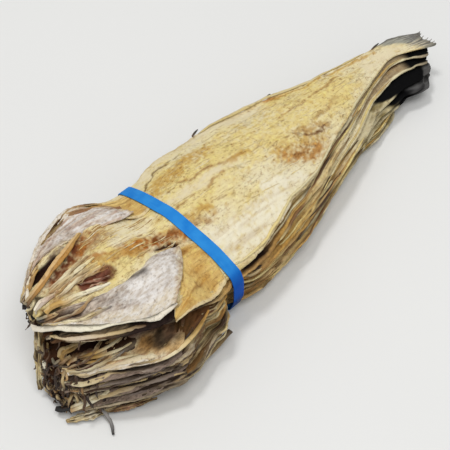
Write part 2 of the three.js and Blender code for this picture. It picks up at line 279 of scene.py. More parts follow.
BODY_MARKS = [
    (STRAW, 30.0, 0.9, 0.0, [(-90, 22), (-30, 25), (30, 22), (70, 18), (110, 22)]),
    (LINING, 12.0, 0.95, -0.5, [(-85, 56), (-45, 68), (0, 66), (40, 60)]),
    (OCHRE, 9.0, 0.9, 0.7, [(-85, 32), (-68, 38), (-45, 42), (-20, 42)]),
    (OLIVE, 1.6, 0.9, -0.6, [(-90, 40), (-75, 49), (-60, 55), (-35, 57)]),
    (LINING, 6.0, 0.95, -0.9, [(-85, 12), (-50, 13), (-14, 12)]),
    (TAN, 2.0, 0.9, -0.6, [(-66, 24), (-35, 18), (-6, 13)]),
    (TAN, 1.7, 0.8, -0.6, [(-86, 4), (-60, 5), (-34, 7)]),
    (OCHRE, 4.5, 0.8, 1.4, [(-16, 13), (-3, 13)]),
    (TAN, 3.2, 0.9, -0.9, [(-91, -13), (-82, -17), (-74, -20)]),
    (OCHRE, 4.5, 0.9, -0.4, [(-90, -8), (-78, -10), (-66, -13)]),
    (IVORY, 17.0, 0.95, 0.5, [(-92, -40), (-50, -42), (-12, -34)]),
    (IVORY, 8.0, 0.8, 0.3, [(-12, -22), (16, -28)]),
    (BLOOD, 1.4, 0.8, -0.3, [(-52, -42)]),
    (STAIN, 1.4, 0.7, -0.3, [(-42, -47)]),
    (OCHRE, 14.0, 0.8, 0.0, [(20, -8), (40, -14), (58, -12)]),
    (STAIN, 8.5, 0.55, 0.0, [(20, -12), (38, -17), (54, -18)]),
    (BLOOD, 1.8, 0.35, -0.3, [(28, -14), (42, -16)]),
    (TAN, 6.0, 0.7, 0.0, [(44, 4), (60, 0), (78, -4)]),
    (BLOOD, 1.3, 0.8, -0.4, [(46, 3), (54, -3), (64, -6), (74, -4)]),
    (STAIN, 4.5, 0.8, 0.0, [(56, 62), (66, 57), (76, 54)]),
    (TAN, 1.8, 0.8, -0.6, [(50, 26), (84, 28)]),
    (TAN, 1.8, 0.8, -0.6, [(90, 28), (132, 32)]),
    (TAN, 3.0, 0.6, -0.4, [(70, 6), (104, 12)]),
    (OCHRE, 2.4, 0.9, 0.7, [(70, 52), (100, 45), (140, 37), (180, 34)]),
    (LINING, 9.0, 0.95, -0.3, [(160, 24), (200, 26)]),
]


def fish_marks(fish, s, v):
    """The height and colour of the marks on a fish's flesh side, and how plain the flesh is there."""
    lay = lay_of(fish)
    u, w = own_place(s, v)
    q = np.abs(v)
    long, mid = drift(u / 34, w / 24, 11 + fish), drift(u / 9, w / 6, 31 + fish)
    short = drift(u / 3.4, w / 2.4, 51 + fish)
    wander_u = u + 3.0 * drift(u / 11, w / 11, 71 + fish) + 1.5 * drift(u / 4, w / 4, 72 + fish)
    wander_w = w + 2.2 * drift(u / 11, w / 11, 73 + fish) + 1.2 * drift(u / 4, w / 4, 74 + fish)
    speckle = 0.6 * drift(u / 2.2, w / 1.8, 75 + fish) + 0.4 * drift(u / 5.5, w / 3.6, 76 + fish)
    vein = smooth(1 - 3 * np.abs(drift(u / 6, w / 3.5, 77 + fish)), 0.45, 0.9)
    tone = layered(CREAM, [
        (STRAW, 0.35 + 0.6 * long + 0.4 * mid), (OCHRE, 0.4 * mid + 0.4 * short - 0.3)])
    plain = np.zeros_like(q)
    height = lay["open"] * head_relief(s, q)
    for colour, width, share, rise, points in HEAD_MARKS + (BODY_MARKS if fish == 0 else []):
        core = along(wander_u, wander_w, points, width)
        mask = smooth(core + 0.9 * speckle * np.sqrt(core), 0.05, 1.25)
        # the marks of painted shade, and the deepest grooves, get an even mask without speckle
        mask = smooth(core, 0.1, 0.7) if colour is HOLLOW_SHADE or rise < -2 else mask
        tone = between(tone, colour, (mask * share)[..., None])
        if colour is STAIN:
            tone = between(tone, BLOOD, share_of(0.35 * mask * vein))
        if colour is IVORY or colour is LINING:
            plain = np.maximum(plain, mask * share)
        height = height + lay["open"] * rise * core
    rough = 1 if fish == 0 else 0.4
    height = height + rough * (0.9 * long + 0.5 * mid + 0.3 * short) * (1 - 0.6 * q**4)
    wrinkle = hump(u, [-95, -70, 0, 30]) * smooth(-w, 24, 32)
    crease = drift(u / 26, w / 1.9, 78)
    height = height + 0.3 * crease * wrinkle
    # tan in the troughs of the creases is painted shade
    tone = between(tone, TAN, share_of(0.3 * wrinkle * smooth(-crease, 0.2, 0.8)))
    return height, tone, plain


def rag(fish, s, v):
    """How far a dry edge stands out of its smooth outline. The places asked for are part of its seed."""
    seed = 101 + 2 * fish + (v > 0)
    size = 0.4 if fish == 0 else 1.0
    mid = 0.8 + 1.6 * head_share(s) * (fish > 2)
    long = 3.0 * drift(s / 60, 0, seed) + mid * drift(s / 18, 7, seed)
    return size * long + 0.45 * drift(s / 5, 13, seed) + 0.35 * drift(s / 1.9, 19, seed)


def fish_point(fish, s, v, upper, marked=True):
    """A point of one fish in millimetres. s runs from snout to fin, v from -1 to 1 across."""
    s, v = np.broadcast_arrays(np.asarray(s, float), np.asarray(v, float))
    lay = lay_of(fish)
    q = np.abs(v)
    half = half_width(lay, s, v)
    edge = half + rag(fish, s, v) * half / WIDEST * smooth(q, 0.5, 1)
    fin = smooth(s, FIN_ROOT, FIN_END)
    held_back = np.where(v < 0, 20 if fish > 5 else 11, 5) * v * v if fish else 3 * (1 - v * v)
    x = s + lay["shift"] - held_back * fin
    x = x - 3 * fin * np.abs(drift(v * 11, s / 300, 131 + fish))
    x = x + 4 * (1 - smooth(s, SNOUT, -215)) * np.abs(drift(v * 3, s / 300, 141 + fish))
    fin_turn = -9.5 * (1 - lay["lower"]) * smooth(s, 180, FIN_END)
    y = lay["aside"] + lay["bend"] * bend_share(s) + lay["swing"] * swing_share(s) + fin_turn
    y = y + edge * v
    wave = np.sin(s / 9 + 6 * chance(fish, 6) + 2 * v) + np.sin(s / 17 + 6 * chance(fish, 7) - v)
    swell = 1.2 if fish == 0 else between(0.5, 0.5 if fish == 1 else 0.95, head_share(s))
    z = underside(lay, x, y) + swell * half / WIDEST * wave * q**3
    crown = np.maximum(1 - q * q, 0) ** 1.2
    if upper:
        rim = between(RIM_THICKNESS, FIN_THICKNESS, smooth(s, 180, FIN_ROOT))
        thick = between(rim, np.maximum(line("flesh", s), rim), crown)
        height = fish_marks(fish, s, v)[0] if marked else lay["open"] * head_relief(s, q)
        pucker = (fish > 0) * (1 - smooth(s, -140, -108)) * smooth(q, 0.7, 0.85)
        height = height + 0.9 * pucker * drift(s / 7, v * 14, 171 + fish)
        z = z + np.maximum(thick + height, LEAST_THICKNESS)
    elif lay["rank"] == 0:
        # the strap holds the lowest skin just off the floor
        off = (x - STRAP_AT - STRAP_SLANT * y) / 22
        z = np.maximum(z + 0.45 + 2.6 * crown * np.exp(-off * off), 0.5)
    return np.stack([x, y, z], -1)


def layer_tones(fish, s, v):
    """The colours of a fish that has another one on it: painted shade inside, where the fish above covers
    it, with its edges bleached.
    """
    q = np.abs(v)
    long = drift(s / 30, v * 3, 151 + fish)
    streak, fine = drift(s / 30, v * 34, 181 + fish), drift(s / 12, v * 70, 191 + fish)
    rear, thin = smooth(s, 40, 110), 0.55 * smooth(s, 90, 130)
    strip = layered(paint(204, 170, 100), [
        (paint(236, 224, 184), 0.35 + 0.5 * long + 0.9 * smooth(s, 10, 110)),
        (paint(186, 142, 76), 0.5 * (2 < fish < 5) * (1 - smooth(s, 60, 120))),
        (paint(234, 214, 162), 0.7 if fish > 5 else 0),
        (paint(190, 144, 76), (0.55 if fish > 2 else 0.8) * hump(s, [-112, -96, -44, 10])),
        (paint(120, 82, 42), (0.05 + 0.6 * streak + 0.5 * fine) * (1 - 0.4 * rear)),
        (paint(66, 44, 24), (0.75 - 0.45 * rear) * smooth(-fine - 0.6 * streak, 0.35, 0.8)),
    ])
    # the flesh under the fish above is painted shade, and only its rims keep their colours
    body = layered(HOLLOW_SHADE, [
        (strip, smooth(q, 0.7 - thin, 0.84 - thin)),
        (paint(122, 92, 62), 0.7 * smooth(s, 100, 130) * (1 - smooth(q, 0.8, 0.9))),
    ])
    # painted shade deep in the heads, and cheeks mottled from grey to near black, partly painted shade
    # between the heads
    deep = between(paint(70, 44, 27), HOLLOW_SHADE, share_of(0.5 + long))
    cheek = between(paint(178, 162, 140), paint(40, 28, 22), share_of(0.58 + 0.8 * streak + 0.6 * fine))
    rind = between(paint(194, 178, 150), paint(50, 38, 30), share_of(0.5 + long + 0.7 * streak))
    rind = paint(216, 198, 166) if fish in (1, 2) else rind
    if fish == 1:
        # on the second fish: painted shade in the gap under the near flap of the fish above, and on its
        # cheek and near rim under the sprung head
        gap = hump(s + 6 * long, [-84, -74, -52, -30]) * hump(-v, [0.5, 0.7, 0.955, 1.0])
        body = between(body, HOLLOW_SHADE * 0.6, share_of(gap))
        cheek = layered(cheek, [
            (OLIVE, 0.5 * hump(s, [-215, -205, -190, -180])),
            (HOLLOW_SHADE, 0.15 + 0.5 * long + hump(s, [-186, -172, -124, -112])),
        ])
        rind = between(rind, HOLLOW_SHADE, share_of(0.9 * hump(s, [-184, -176, -124, -112]) * (v < 0)))
    return layered(deep, [
        (cheek, smooth(q + 0.06 * long, 0.6, 0.8)),
        (rind, smooth(q, 0.92 + 0.03 * long, 0.98)),
        (body, smooth(s + 8 * long, -140, -108)),
    ])


def fish_tones(fish, s, v, upper):
    """The colours of one fish and how fibrous, how skinned and how finny it is there."""
    q = np.abs(v)
    long, mid = drift(s / 30, v * 3, 151 + fish), drift(s / 8, v * 8, 161 + fish)
    tail = smooth(s + 14 * v * (fish < 3), 198 + 6 * mid, 220 + 6 * mid)
    if fish == 0:
        tail = np.maximum(smooth(s + 22 * v + 4 * mid, 203, 215), smooth(s + 3 * mid, 214, 226))
    flesh, skin = np.zeros_like(q), np.zeros_like(q)
    if upper:
        tone, plain = (layer_tones(fish, s, v), 0.3) if fish else fish_marks(fish, s, v)[1:]
        if fish == 0:
            bared = (0.7 - 0.5 * plain) * smooth(q + 0.04 * mid, 0.95, 0.99)
            tone = between(tone, RIND, share_of(bared))
        flesh = (1 - tail) * (1 - 0.88 * plain)
    else:
        tone = layered(BACK, [
            (SKIN, smooth(q + 0.15 * mid, 0.15, 0.7)), (RIND, 0.6 * smooth(q + 0.1 * long, 0.75, 1))])
        skin = 1 - tail
    pale = smooth(-v + 0.2 * mid, -0.3, 0.3) * (fish < 3)
    web = layered(paint(138, 134, 127) if fish else paint(174, 172, 158), [
        (paint(192, 174, 146), pale * (1 - 0.9 * smooth(s, 208, 219) * (fish == 0))),
        (paint(84, 80, 76), 0.4 * smooth(s, 220, 232) + 0.4 * mid + 0.7 * smooth(v, 0.75, 0.98)),
    ])
    moss = between(paint(206, 194, 158), paint(136, 122, 82), share_of(0.4 + 0.8 * mid + 0.4 * long))
    mossy, fan = 0, np.zeros_like(q)
    # BLACK over the rear of the lower fish is painted shade, in the hollows between their tails under the
    # fish above
    if fish > 5:
        dark, mossy = smooth(s + 3 * mid, 174, 182), smooth(s, 80, 110)
    elif fish > 2:
        dark = smooth(s + 50 * v + 4 * mid, 116, 124) * smooth(-v, -0.3, 0)
        mossy = smooth(-v, 0.3, 0.5) * smooth(s, 84, 118)
        fan = smooth(s, 188, 196) * smooth(-v, 0.62, 0.76) * (fish > 3)
        fan = np.maximum(fan, smooth(s - 6 * v, 224, 229) * smooth(-v, -0.4, 0))
    else:
        dark = smooth(s, 196, 208) * smooth(-v, -0.7, -0.3) * (fish > 0)
        dark = dark * (1 - 0.8 * smooth(q, 0.9, 0.97))
    grey = between(paint(100, 99, 98), paint(56, 55, 55), share_of(0.4 + mid))
    tone = layered(tone, [(web, tail), (moss, mossy), (BLACK, dark), (grey, 0.9 * fan)])
    return tone, flesh * (1 - dark), skin, tail * (1 - dark * (1 - fan))


RIM_BULGE = 0.35


def noted(mesh, label, grid):
    """Notes a value or a colour for every point of a mesh, from the rows of that grid."""
    grid = grid.astype(np.float32)
    if grid.shape[1] == 3:
        layer = mesh.attributes.new(label, "FLOAT_COLOR", "POINT")
        alpha = np.ones((len(grid), 1), np.float32)
        layer.data.foreach_set("color", np.concatenate([grid, alpha], 1).ravel())
    else:
        layer = mesh.attributes.new(label, "FLOAT", "POINT")
        layer.data.foreach_set("value", grid.ravel())


def sheet_mesh(name, sheets):
    """Closed sheets, each from two grids of points with a round rim between them, as one mesh."""
    points, faces, layers, count = [], [], {}, 0
    for top, bottom, values in sheets:
        rows, columns = top.shape[:2]
        drop = rows * columns
        index = np.arange(drop).reshape(rows, columns)
        loop = np.concatenate([index[:-1, 0], index[-1, :-1], index[:0:-1, -1], index[0, :0:-1]])
        over, under = top.reshape(-1, 3), bottom.reshape(-1, 3)
        middle = 0.5 * (over[loop] + under[loop])
        run = np.roll(middle, -1, 0) - np.roll(middle, 1, 0)
        out = np.stack([run[:, 1], -run[:, 0], 0 * run[:, 0]], -1)
        out = out / np.maximum(np.linalg.norm(out, axis=1, keepdims=True), 1e-9)
        gap = np.linalg.norm(over[loop] - under[loop], axis=1, keepdims=True)
        points += [over, under, middle + RIM_BULGE * gap * out]
        corners = [index[:-1, :-1], index[1:, :-1], index[1:, 1:], index[:-1, 1:]]
        upper = np.stack(corners, -1).reshape(-1, 4)
        ring = 2 * drop + np.arange(len(loop))
        after, ring_after = np.roll(loop, -1), np.roll(ring, -1)
        rim = [[loop, ring, ring_after, after], [ring, loop + drop, after + drop, ring_after]]
        faces += [f + count for f in (upper, upper[:, ::-1] + drop, *(np.stack(r, -1) for r in rim))]
        count += 2 * drop + len(loop)
        for label, (a, b) in values.items():
            width = a.shape[2] if a.ndim == 3 else 1
            a, b = a.reshape(-1, width), b.reshape(-1, width)
            layers.setdefault(label, []).extend([a, b, a[loop]])
    mesh = bpy.data.meshes.new(name)
    faces = np.concatenate(faces)
    mesh.from_pydata(np.concatenate(points) * MM, [], faces)
    mesh.polygons.foreach_set("use_smooth", np.ones(len(faces), bool))
    for label, grids in layers.items():
        noted(mesh, label, np.concatenate(grids))
    return mesh


class Feed:
    """A node's socket that can be written into sums, and that further nodes can follow."""

    def __init__(self, tree, socket=None):
        self.tree, self.socket = tree, socket

    def node(self, kind, values=None, out=0, **settings):
        made = self.tree.nodes.new(kind)
        for key, value in settings.items():
            setattr(made, key, value)
        for key, value in (values or {}).items():
            socket = made.inputs[key]
            if isinstance(value, Feed):
                self.tree.links.new(value.socket, socket)
            else:
                socket.default_value = value
        return Feed(self.tree, made.outputs[out])

    def math(self, operation, a, b=0.0, clamp=False):
        return self.node("ShaderNodeMath", {0: a, 1: b}, operation=operation, use_clamp=clamp)

    def __add__(self, other):
        return self.math("ADD", self, other)

    def __radd__(self, other):
        return self.math("ADD", other, self)

    def __sub__(self, other):
        return self.math("SUBTRACT", self, other)

    def __rsub__(self, other):
        return self.math("SUBTRACT", other, self)

    def __mul__(self, other):
        return self.math("MULTIPLY", self, other)

    def held(self):
        return self.math("ADD", self, 0.0, clamp=True)

    def step(self, low, high):
        values = {0: self, 1: low, 2: high}
        return self.node("ShaderNodeMapRange", values, interpolation_type="SMOOTHSTEP")

    def mixed(self, other, share, blend):
        values = {0: share, 6: self, 7: other if isinstance(other, Feed) else (*other, 1)}
        return self.node("ShaderNodeMix", values, 2, data_type="RGBA", blend_type=blend)

    def coated(self, coats):
        """This colour with coats of others over it, each with its share and how it mixes."""
        tone = self
        for colour, share, blend in coats:
            tone = tone.mixed(colour, share.held(), blend)
        return tone

    def mottled(self, first, second):
        """A colour that goes from the first to the second with this feed."""
        values = {0: self, 6: (*first, 1), 7: (*second, 1)}
        return self.node("ShaderNodeMix", values, 2, data_type="RGBA")

    def noise(self, place, scale, detail, rough):
        values = {"Vector": place, "Scale": scale, "Detail": detail, "Roughness": rough}
        return self.node("ShaderNodeTexNoise", values)

    def stretched(self, scale):
        return self.node("ShaderNodeVectorMath", {0: self, 1: scale}, operation="MULTIPLY")

    def place(self):
        return self.node("ShaderNodeTexCoord", None, "Object")

    def value(self, name, out="Fac"):
        return self.node("ShaderNodeAttribute", None, out, attribute_name=name)

    def bump(self, strength, distance, height):
        values = {"Strength": strength, "Distance": distance, "Height": height}
        return self.node("ShaderNodeBump", values)


def new_finish(name, roughness, specular=0.5):
    """An empty material, the feed to build its nodes from, and its surface node."""
    finish = bpy.data.materials.new(name)
    finish.use_nodes = True
    surface = finish.node_tree.nodes["Principled BSDF"]
    surface.inputs["Roughness"].default_value = roughness
    surface.inputs["Specular IOR Level"].default_value = specular
    return finish, Feed(finish.node_tree), surface


def joined(feed, surface, inputs):
    for name, value in inputs.items():
        feed.tree.links.new(value.socket, surface.inputs[name])


dry_flesh, feed, surface = new_finish("dry_flesh", 0.7, 0.06)
place = feed.place()
flesh, skin, tail = feed.value("flesh"), feed.value("skin"), feed.value("tail")
sunk = 1 - feed.value("raised")
crumb = feed.noise(place, 340, 6, 0.7)
fibre = feed.noise(place.stretched((70, 520, 460)), 1.0, 5, 0.6)
mottle = feed.noise(place, 420, 5, 0.65).step(0.35, 0.7)
ray = feed.noise(place.stretched((25, 700, 300)), 1.0, 3, 0.5).step(0.35, 0.65)
seam = feed.math("ABSOLUTE", feed.noise(place.stretched((50, 170, 150)), 1.0, 4, 0.6) - 0.5)
crack = (1 - seam.step(0.004, 0.022)) * feed.noise(place, 45, 2, 0.5).step(0.46, 0.6)
tone = feed.value("tone", "Color").coated([
    # the first coat is painted shade in the low parts of the relief
    (paint(208, 170, 108), sunk.step(0.5, 0.66) * flesh * 0.5, "MULTIPLY"),
    (paint(158, 114, 76), crumb.step(0.54, 0.7) * flesh * 0.8, "MULTIPLY"),
    (paint(232, 226, 200), (1 - crumb).step(0.52, 0.66) * flesh * 0.65, "OVERLAY"),
    (paint(146, 108, 80), fibre.step(0.55, 0.7) * flesh * 0.5, "MULTIPLY"),
    (paint(140, 100, 68), crack * flesh * 0.3, "MULTIPLY"),
    (paint(62, 54, 44), mottle * skin * 0.6, "MIX"),
    (paint(66, 63, 58), ray * tail * 0.4, "MIX"),
])
relief = mottle * skin * 0.3 + ray * tail * 0.5 - crumb * 0.9 - fibre * 0.7 - crack * flesh * 0.3
joined(feed, surface, {
    "Base Color": tone,
    "Roughness": 0.5 + crumb * 0.4 - skin * 0.12 - tail * 0.1,
    "Normal": feed.bump(0.6, 0.0014, relief),
})


def new_tree(name, sizes):
    """A geometry tree with those named inputs, and feeds for its input and the inputs' sockets."""
    tree = bpy.data.node_groups.new(name, "GeometryNodeTree")
    kinds = {int: "NodeSocketInt", float: "NodeSocketFloat"}
    tree.interface.new_socket("Geometry", in_out="INPUT", socket_type="NodeSocketGeometry")
    for label, first in sizes.items():
        socket = tree.interface.new_socket(label, in_out="INPUT", socket_type=kinds[type(first)])
        socket.default_value = first
    tree.interface.new_socket("Material", in_out="INPUT", socket_type="NodeSocketMaterial")
    tree.interface.new_socket("Geometry", in_out="OUTPUT", socket_type="NodeSocketGeometry")
    start = tree.nodes.new("NodeGroupInput")
    feeds = {socket.name: Feed(tree, socket) for socket in start.outputs if socket.name}
    return tree, Feed(tree), feeds


def close_tree(tree, feed, geometry, material):
    whole = feed.node("GeometryNodeRealizeInstances", {"Geometry": geometry})
    coated = feed.node("GeometryNodeSetMaterial", {"Geometry": whole, "Material": material})
    end = tree.nodes.new("NodeGroupOutput")
    tree.links.new(coated.socket, end.inputs[0])


def grown(name, mesh, tree, sizes, material):
    """A piece whose plain mesh is what the tree makes of that mesh."""
    piece = bpy.data.objects.new(name, mesh)
    bpy.context.scene.collection.objects.link(piece)
    modifier = piece.modifiers.new(tree.name, "NODES")
    modifier.node_group = tree
    for item in tree.interface.items_tree:
        if item.in_out == "INPUT" and item.name in sizes:
            modifier[item.identifier] = sizes[item.name]
        if item.in_out == "INPUT" and item.name == "Material":
            modifier[item.identifier] = material
    graph = bpy.context.evaluated_depsgraph_get()
    made = bpy.data.meshes.new_from_object(
        piece.evaluated_get(graph), preserve_all_data_layers=True, depsgraph=graph)
    piece.modifiers.clear()
    piece.data = made
    made.name = name
    return piece


def hills(feed, place, seed, size, detail, rough):
    """Random hills from 0 to 1, each about that size."""
    scale = feed.math("DIVIDE", 1.0, size)
    values = {"Vector": place, "W": seed, "Scale": scale, "Detail": detail, "Roughness": rough}
    return feed.node("ShaderNodeTexNoise", values, noise_dimensions="4D")


def pushed_out(feed, geometry, height, raised):
    """A surface moved out by that height, with a note of how raised it is for its colours."""
    facing = feed.node("GeometryNodeInputNormal")
    away = feed.node("ShaderNodeVectorMath", {0: facing, "Scale": height}, operation="SCALE")
    moved = feed.node("GeometryNodeSetPosition", {"Geometry": geometry, "Offset": away})
    values = {"Geometry": moved, "Name": "raised", "Value": raised}
    return feed.node("GeometryNodeStoreNamedAttribute", values, data_type="FLOAT", domain="POINT")


relief_tree, feed, inputs = new_tree("dry_relief", {
    "Depth": 0.0006, "Size": 0.006, "Fibre depth": 0.0003, "Fibre width": 0.0015, "Seed": 0.0})
here = feed.node("GeometryNodeInputPosition")
grain = feed.node("GeometryNodeInputNamedAttribute", {"Name": "grain"}, data_type="FLOAT")
lump = hills(feed, here, inputs["Seed"], inputs["Size"], 3.0, 0.6)
strand = hills(feed, here.stretched((0.18, 1, 1)), inputs["Seed"] + 3.0, inputs["Fibre width"], 2.0, 0.5)
out = (lump - 0.5) * 2.0 * inputs["Depth"] + (strand - 0.5) * 2.0 * inputs["Fibre depth"]
raised = pushed_out(feed, inputs["Geometry"], out * grain, lump * 0.6 + strand * 0.4)
close_tree(relief_tree, feed, raised, inputs["Material"])

# the bundle's origin lies under the middle of its box
MIDDLE = np.array([-1.91, -7.53, 0.0])

for fish in range(FISH_COUNT):
    rows = (170, 230, 26) if fish == 0 else (120, 150, 22)
    columns = 110 if fish == 0 else 64
    s = np.concatenate([
        np.linspace(SNOUT, HEAD_END, rows[0], endpoint=False),
        np.linspace(HEAD_END, FIN_ROOT, rows[1], endpoint=False),
        np.linspace(FIN_ROOT, FIN_END, rows[2]),
    ])[:, None]
    v = np.linspace(-1, 1, columns)
    v = v * (1.2 - 0.2 * v * v)
    s, v = np.broadcast_arrays(s, v)
    top, bottom = fish_point(fish, s, v, True) - MIDDLE, fish_point(fish, s, v, False) - MIDDLE
    over, under = fish_tones(fish, s, v, True), fish_tones(fish, s, v, False)
    values = {label: (a, b) for label, a, b in zip(("tone", "flesh", "skin", "tail"), over, under)}
    q = np.abs(v)
    values["grain"] = (
        (1.0 if fish == 0 else smooth(q, 0.4, 0.8)) * (1 - 0.7 * over[3]) * (0.4 + 0.6 * (1 - q**6)),
        0.3 * np.ones_like(q),
    )
    mesh = sheet_mesh(f"fish_{fish + 1}", [(top, bottom, values)])
    piece = grown(f"fish_{fish + 1}", mesh, relief_tree, {
        "Depth": 0.0009, "Size": 0.0055, "Fibre depth": 0.0005, "Fibre width": 0.0016,
        "Seed": 5.0 * fish}, dry_flesh)
    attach(piece, "root")
    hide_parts(f"pollock_{fish + 1}")

# The gill covers: a thin bony plate on each side of every opened head, silvery white inside.
# Each hangs on the cheek bones, has dried stiff, and stands free of the flesh at its round rear edge.
COVER_STEPS = [0, 0.2, 0.4, 0.55, 0.7, 0.85, 1]
COVER_INNER = [(-224, -5), (-205, -8.5), (-186, -14), (-171, -18.5), (-152, -21), (-130, -19.5), (-110, -24)]
COVER_OUTER = [(-229, -9), (-217, -19.5), (-203, -33.5), (-190, -44), (-177, -52), (-163, -58), (-148, -62)]
FAR_INNER = [(-224, -14), (-207, -28), (-190, -33), (-172, -32), (-152, -30), (-130, -22), (-112, -26)]
COVER_THICKNESS = 1.0
GLOOM = paint(92, 64, 40)


def eased(rows, share, steps=None):
    """Places on a smooth curve through those rows, from its start at 0 to its end at 1."""
    rows = np.array(rows, float)
    steps = np.linspace(0, 1, len(rows)) if steps is None else steps
    degree = min(4, len(rows) - 1)
    curves = [np.polyfit(steps, column, degree) for column in rows.T]
    return np.stack([np.polyval(curve, share) for curve in curves], -1)


def plain_point(fish, s, v):
    """A point of a fish's flesh side as it is without its marks."""
    return fish_point(fish, s, v, True, False)


def facing_up(side, top, bottom, values):
    """A sheet of the near or far side, with its columns in the order that turns its top upwards."""
    turn = slice(None, None, -1) if side < 0 else slice(None)
    values = {label: (over[:, turn], under[:, turn]) for label, (over, under) in values.items()}
    return top[:, turn] - MIDDLE, bottom[:, turn] - MIDDLE, values


def even(like, **pairs):
    """Values that are the same all over the top of a sheet, and all over its bottom."""
    return {label: tuple(np.full(like.shape, float(part)) for part in pair) for label, pair in pairs.items()}


def grid(rows, columns, first=0):
    """Shares along a sheet, from 0 to 1, and across it, from the first to 1."""
    return np.broadcast_arrays(np.linspace(0, 1, rows)[:, None], np.linspace(first, 1, columns))


def gill_cover(fish, side):
    """A cover on the near side, -1, or on the far side, 1. a runs to its rear and b outwards."""
    seed = 201 + 2 * fish + (side > 0)
    a, b = grid(64, 28)
    inner = eased(COVER_INNER if side < 0 else FAR_INNER, a, COVER_STEPS)
    outer = eased(COVER_OUTER, a, COVER_STEPS)
    place = between(inner, outer, b[..., None])
    u = place[..., 0] + 26 * a**5 * b * (1 - b)
    w = place[..., 1] + 8 * a**5 * b * (1 - b)
    s, v = own_share(u, w)
    open_share = lay_of(fish)["open"]
    sunk = (1 - smooth(b, 0, 0.28)) * (1 - smooth(a, 0.72, 0.86))
    lift = 1.8 + 0.6 * smooth(b, 0, 0.35) + 2.6 * smooth(a, 0.8, 1) * (1 - 0.35 * b) + smooth(b, 0.8, 1)
    lift = lift - sunk * (3.4 + 3 * drift(a * 16, b * 6, seed + 20))
    lift = 0.4 * lift if fish == 2 else lift
    gap = along(u, w, [(-225, -4), (-215, -11.5), (-204, -20)], 4.4) * (side < 0)
    bowl = along(u, w, [(-194, -20), (-185, -28), (-175, -33)], 6.5) * (side < 0)
    lift = lift - 2.2 * gap - 1.6 * bowl
    long, mid = drift(a * 7, b * 4, seed), drift(a * 22, b * 9, seed + 40)
    ribs = np.sin(26 * b + 5 * drift(a * 5, b * 3, seed + 80) + 6 * a) * smooth(a, 0.2, 0.5)
    buckle = (0.4 + 0.6 * open_share) * (0.5 * long + 0.3 * mid + 0.2 * ribs)
    top = plain_point(fish, s, v * -side)
    top[..., 2] += 0.2 + open_share * lift + buckle
    top[..., 2] = np.maximum(top[..., 2], COVER_THICKNESS + 1.2)
    spot, crease = drift(a * 60, b * 26, seed + 120), drift(a * 5, b * 26, seed + 160)
    front = 1 - smooth(a + 0.15 * long - 0.2 * b, 0.3, 0.55)
    tone = layered(paint(238, 232, 224), [
        (paint(200, 189, 179), 0.4 + 0.6 * long + 0.5 * mid),
        (paint(150, 134, 118), 0.6 * spot - 0.1),
        (paint(184, 160, 132), 0.6 * front),
        (paint(104, 80, 62), 1.1 * front * smooth(crease, 0.2, 0.65)),
        (paint(140, 132, 126), 0.3 * bowl),
        (paint(106, 99, 94), 0.9 * along(u, w, [(-160, -23), (-149, -28)], 4)),
        (TAN, 0.7 * (1 - smooth(a + 0.1 * long, 0.08, 0.25))),
        (STRAW, 0.4 * (1 - smooth(b + 0.1 * mid, 0.04, 0.2)) * (1 - smooth(a, 0.7, 0.85))),
        # painted shade in the gap along the inner edge of the near cover
        (paint(64, 42, 30), 0.95 * gap),
    ])
    rim = paint(230, 219, 200)
    if fish == 0 and side > 0:
        tone = between(tone, paint(196, 168, 144), share_of(0.25 + 0.8 * crease))
    elif fish == 1:
        # the second fish's cover lies under the sprung head above it: near-black painted shade, held back to
        # an olive tan in its middle where less shade is painted, and its rim is painted shade too
        held_back = 0.85 * hump(a + 0.1 * long, [0.08, 0.2, 0.5, 0.7]) * (0.6 + 0.6 * crease)
        tone = layered(tone, [(HOLLOW_SHADE * 0.4, 0.985), (paint(156, 136, 108), held_back)])
        rim = between(GLOOM, HOLLOW_SHADE, share_of(smooth(a, 0.4, 0.55)))
    elif fish == 2:
        # the third fish's cover is an open bowl: its inside and rear are painted shade, dark red to near
        # black
        deep = b + 0.12 * long + 0.05 * mid - 0.4 * smooth(a, 0.5, 0.78)
        inside = np.maximum(1 - smooth(deep, 0.12, 0.36), 1 - smooth(a + 0.4 * b, 0.08, 0.22))
        rear = smooth(a + 0.1 * mid, 0.72, 0.86) * (1 - smooth(b + 0.1 * long, 0.8, 0.94))
        tone = layered(paint(226, 206, 164), [
            (paint(180, 136, 80), 0.35 + 0.6 * mid + 0.5 * long),
            (paint(152, 138, 136), 0.8 * along(a, b, [(0.64, 0.4), (0.82, 0.5)], 0.1)),
            (between(BLOOD, HOLLOW_SHADE, share_of(0.5 + mid)), 0.9 * np.maximum(inside, rear)),
        ])
        rim = between(rim, paint(186, 150, 98), share_of(smooth(a + 0.1 * mid, 0.66, 0.92)))
    elif fish:
        # the covers lower in the stack are darkened with painted shade, their rims too
        tone = between(tone, between(paint(112, 94, 84), HOLLOW_SHADE, 0.35), 0.9)
        rim = paint(140, 122, 108)
    edge = 0.1 * (fish == 2) * smooth(a, 0.6, 0.75)
    tone = layered(tone, [
        (rim, 0.8 * smooth(b + 0.05 * mid - edge, 0.76, 0.88)),
        (paint(198, 172, 130), 0.7 * smooth(a + 0.02 * mid, 0.95, 0.99) * (fish == 0)),
    ])
    under = between(SKIN, BACK, share_of(0.5 + 0.5 * mid))
    return facing_up(side, top, top - [0, 0, COVER_THICKNESS], {
        "tone": (tone, under), **even(a, grain=(1, 0.5))})


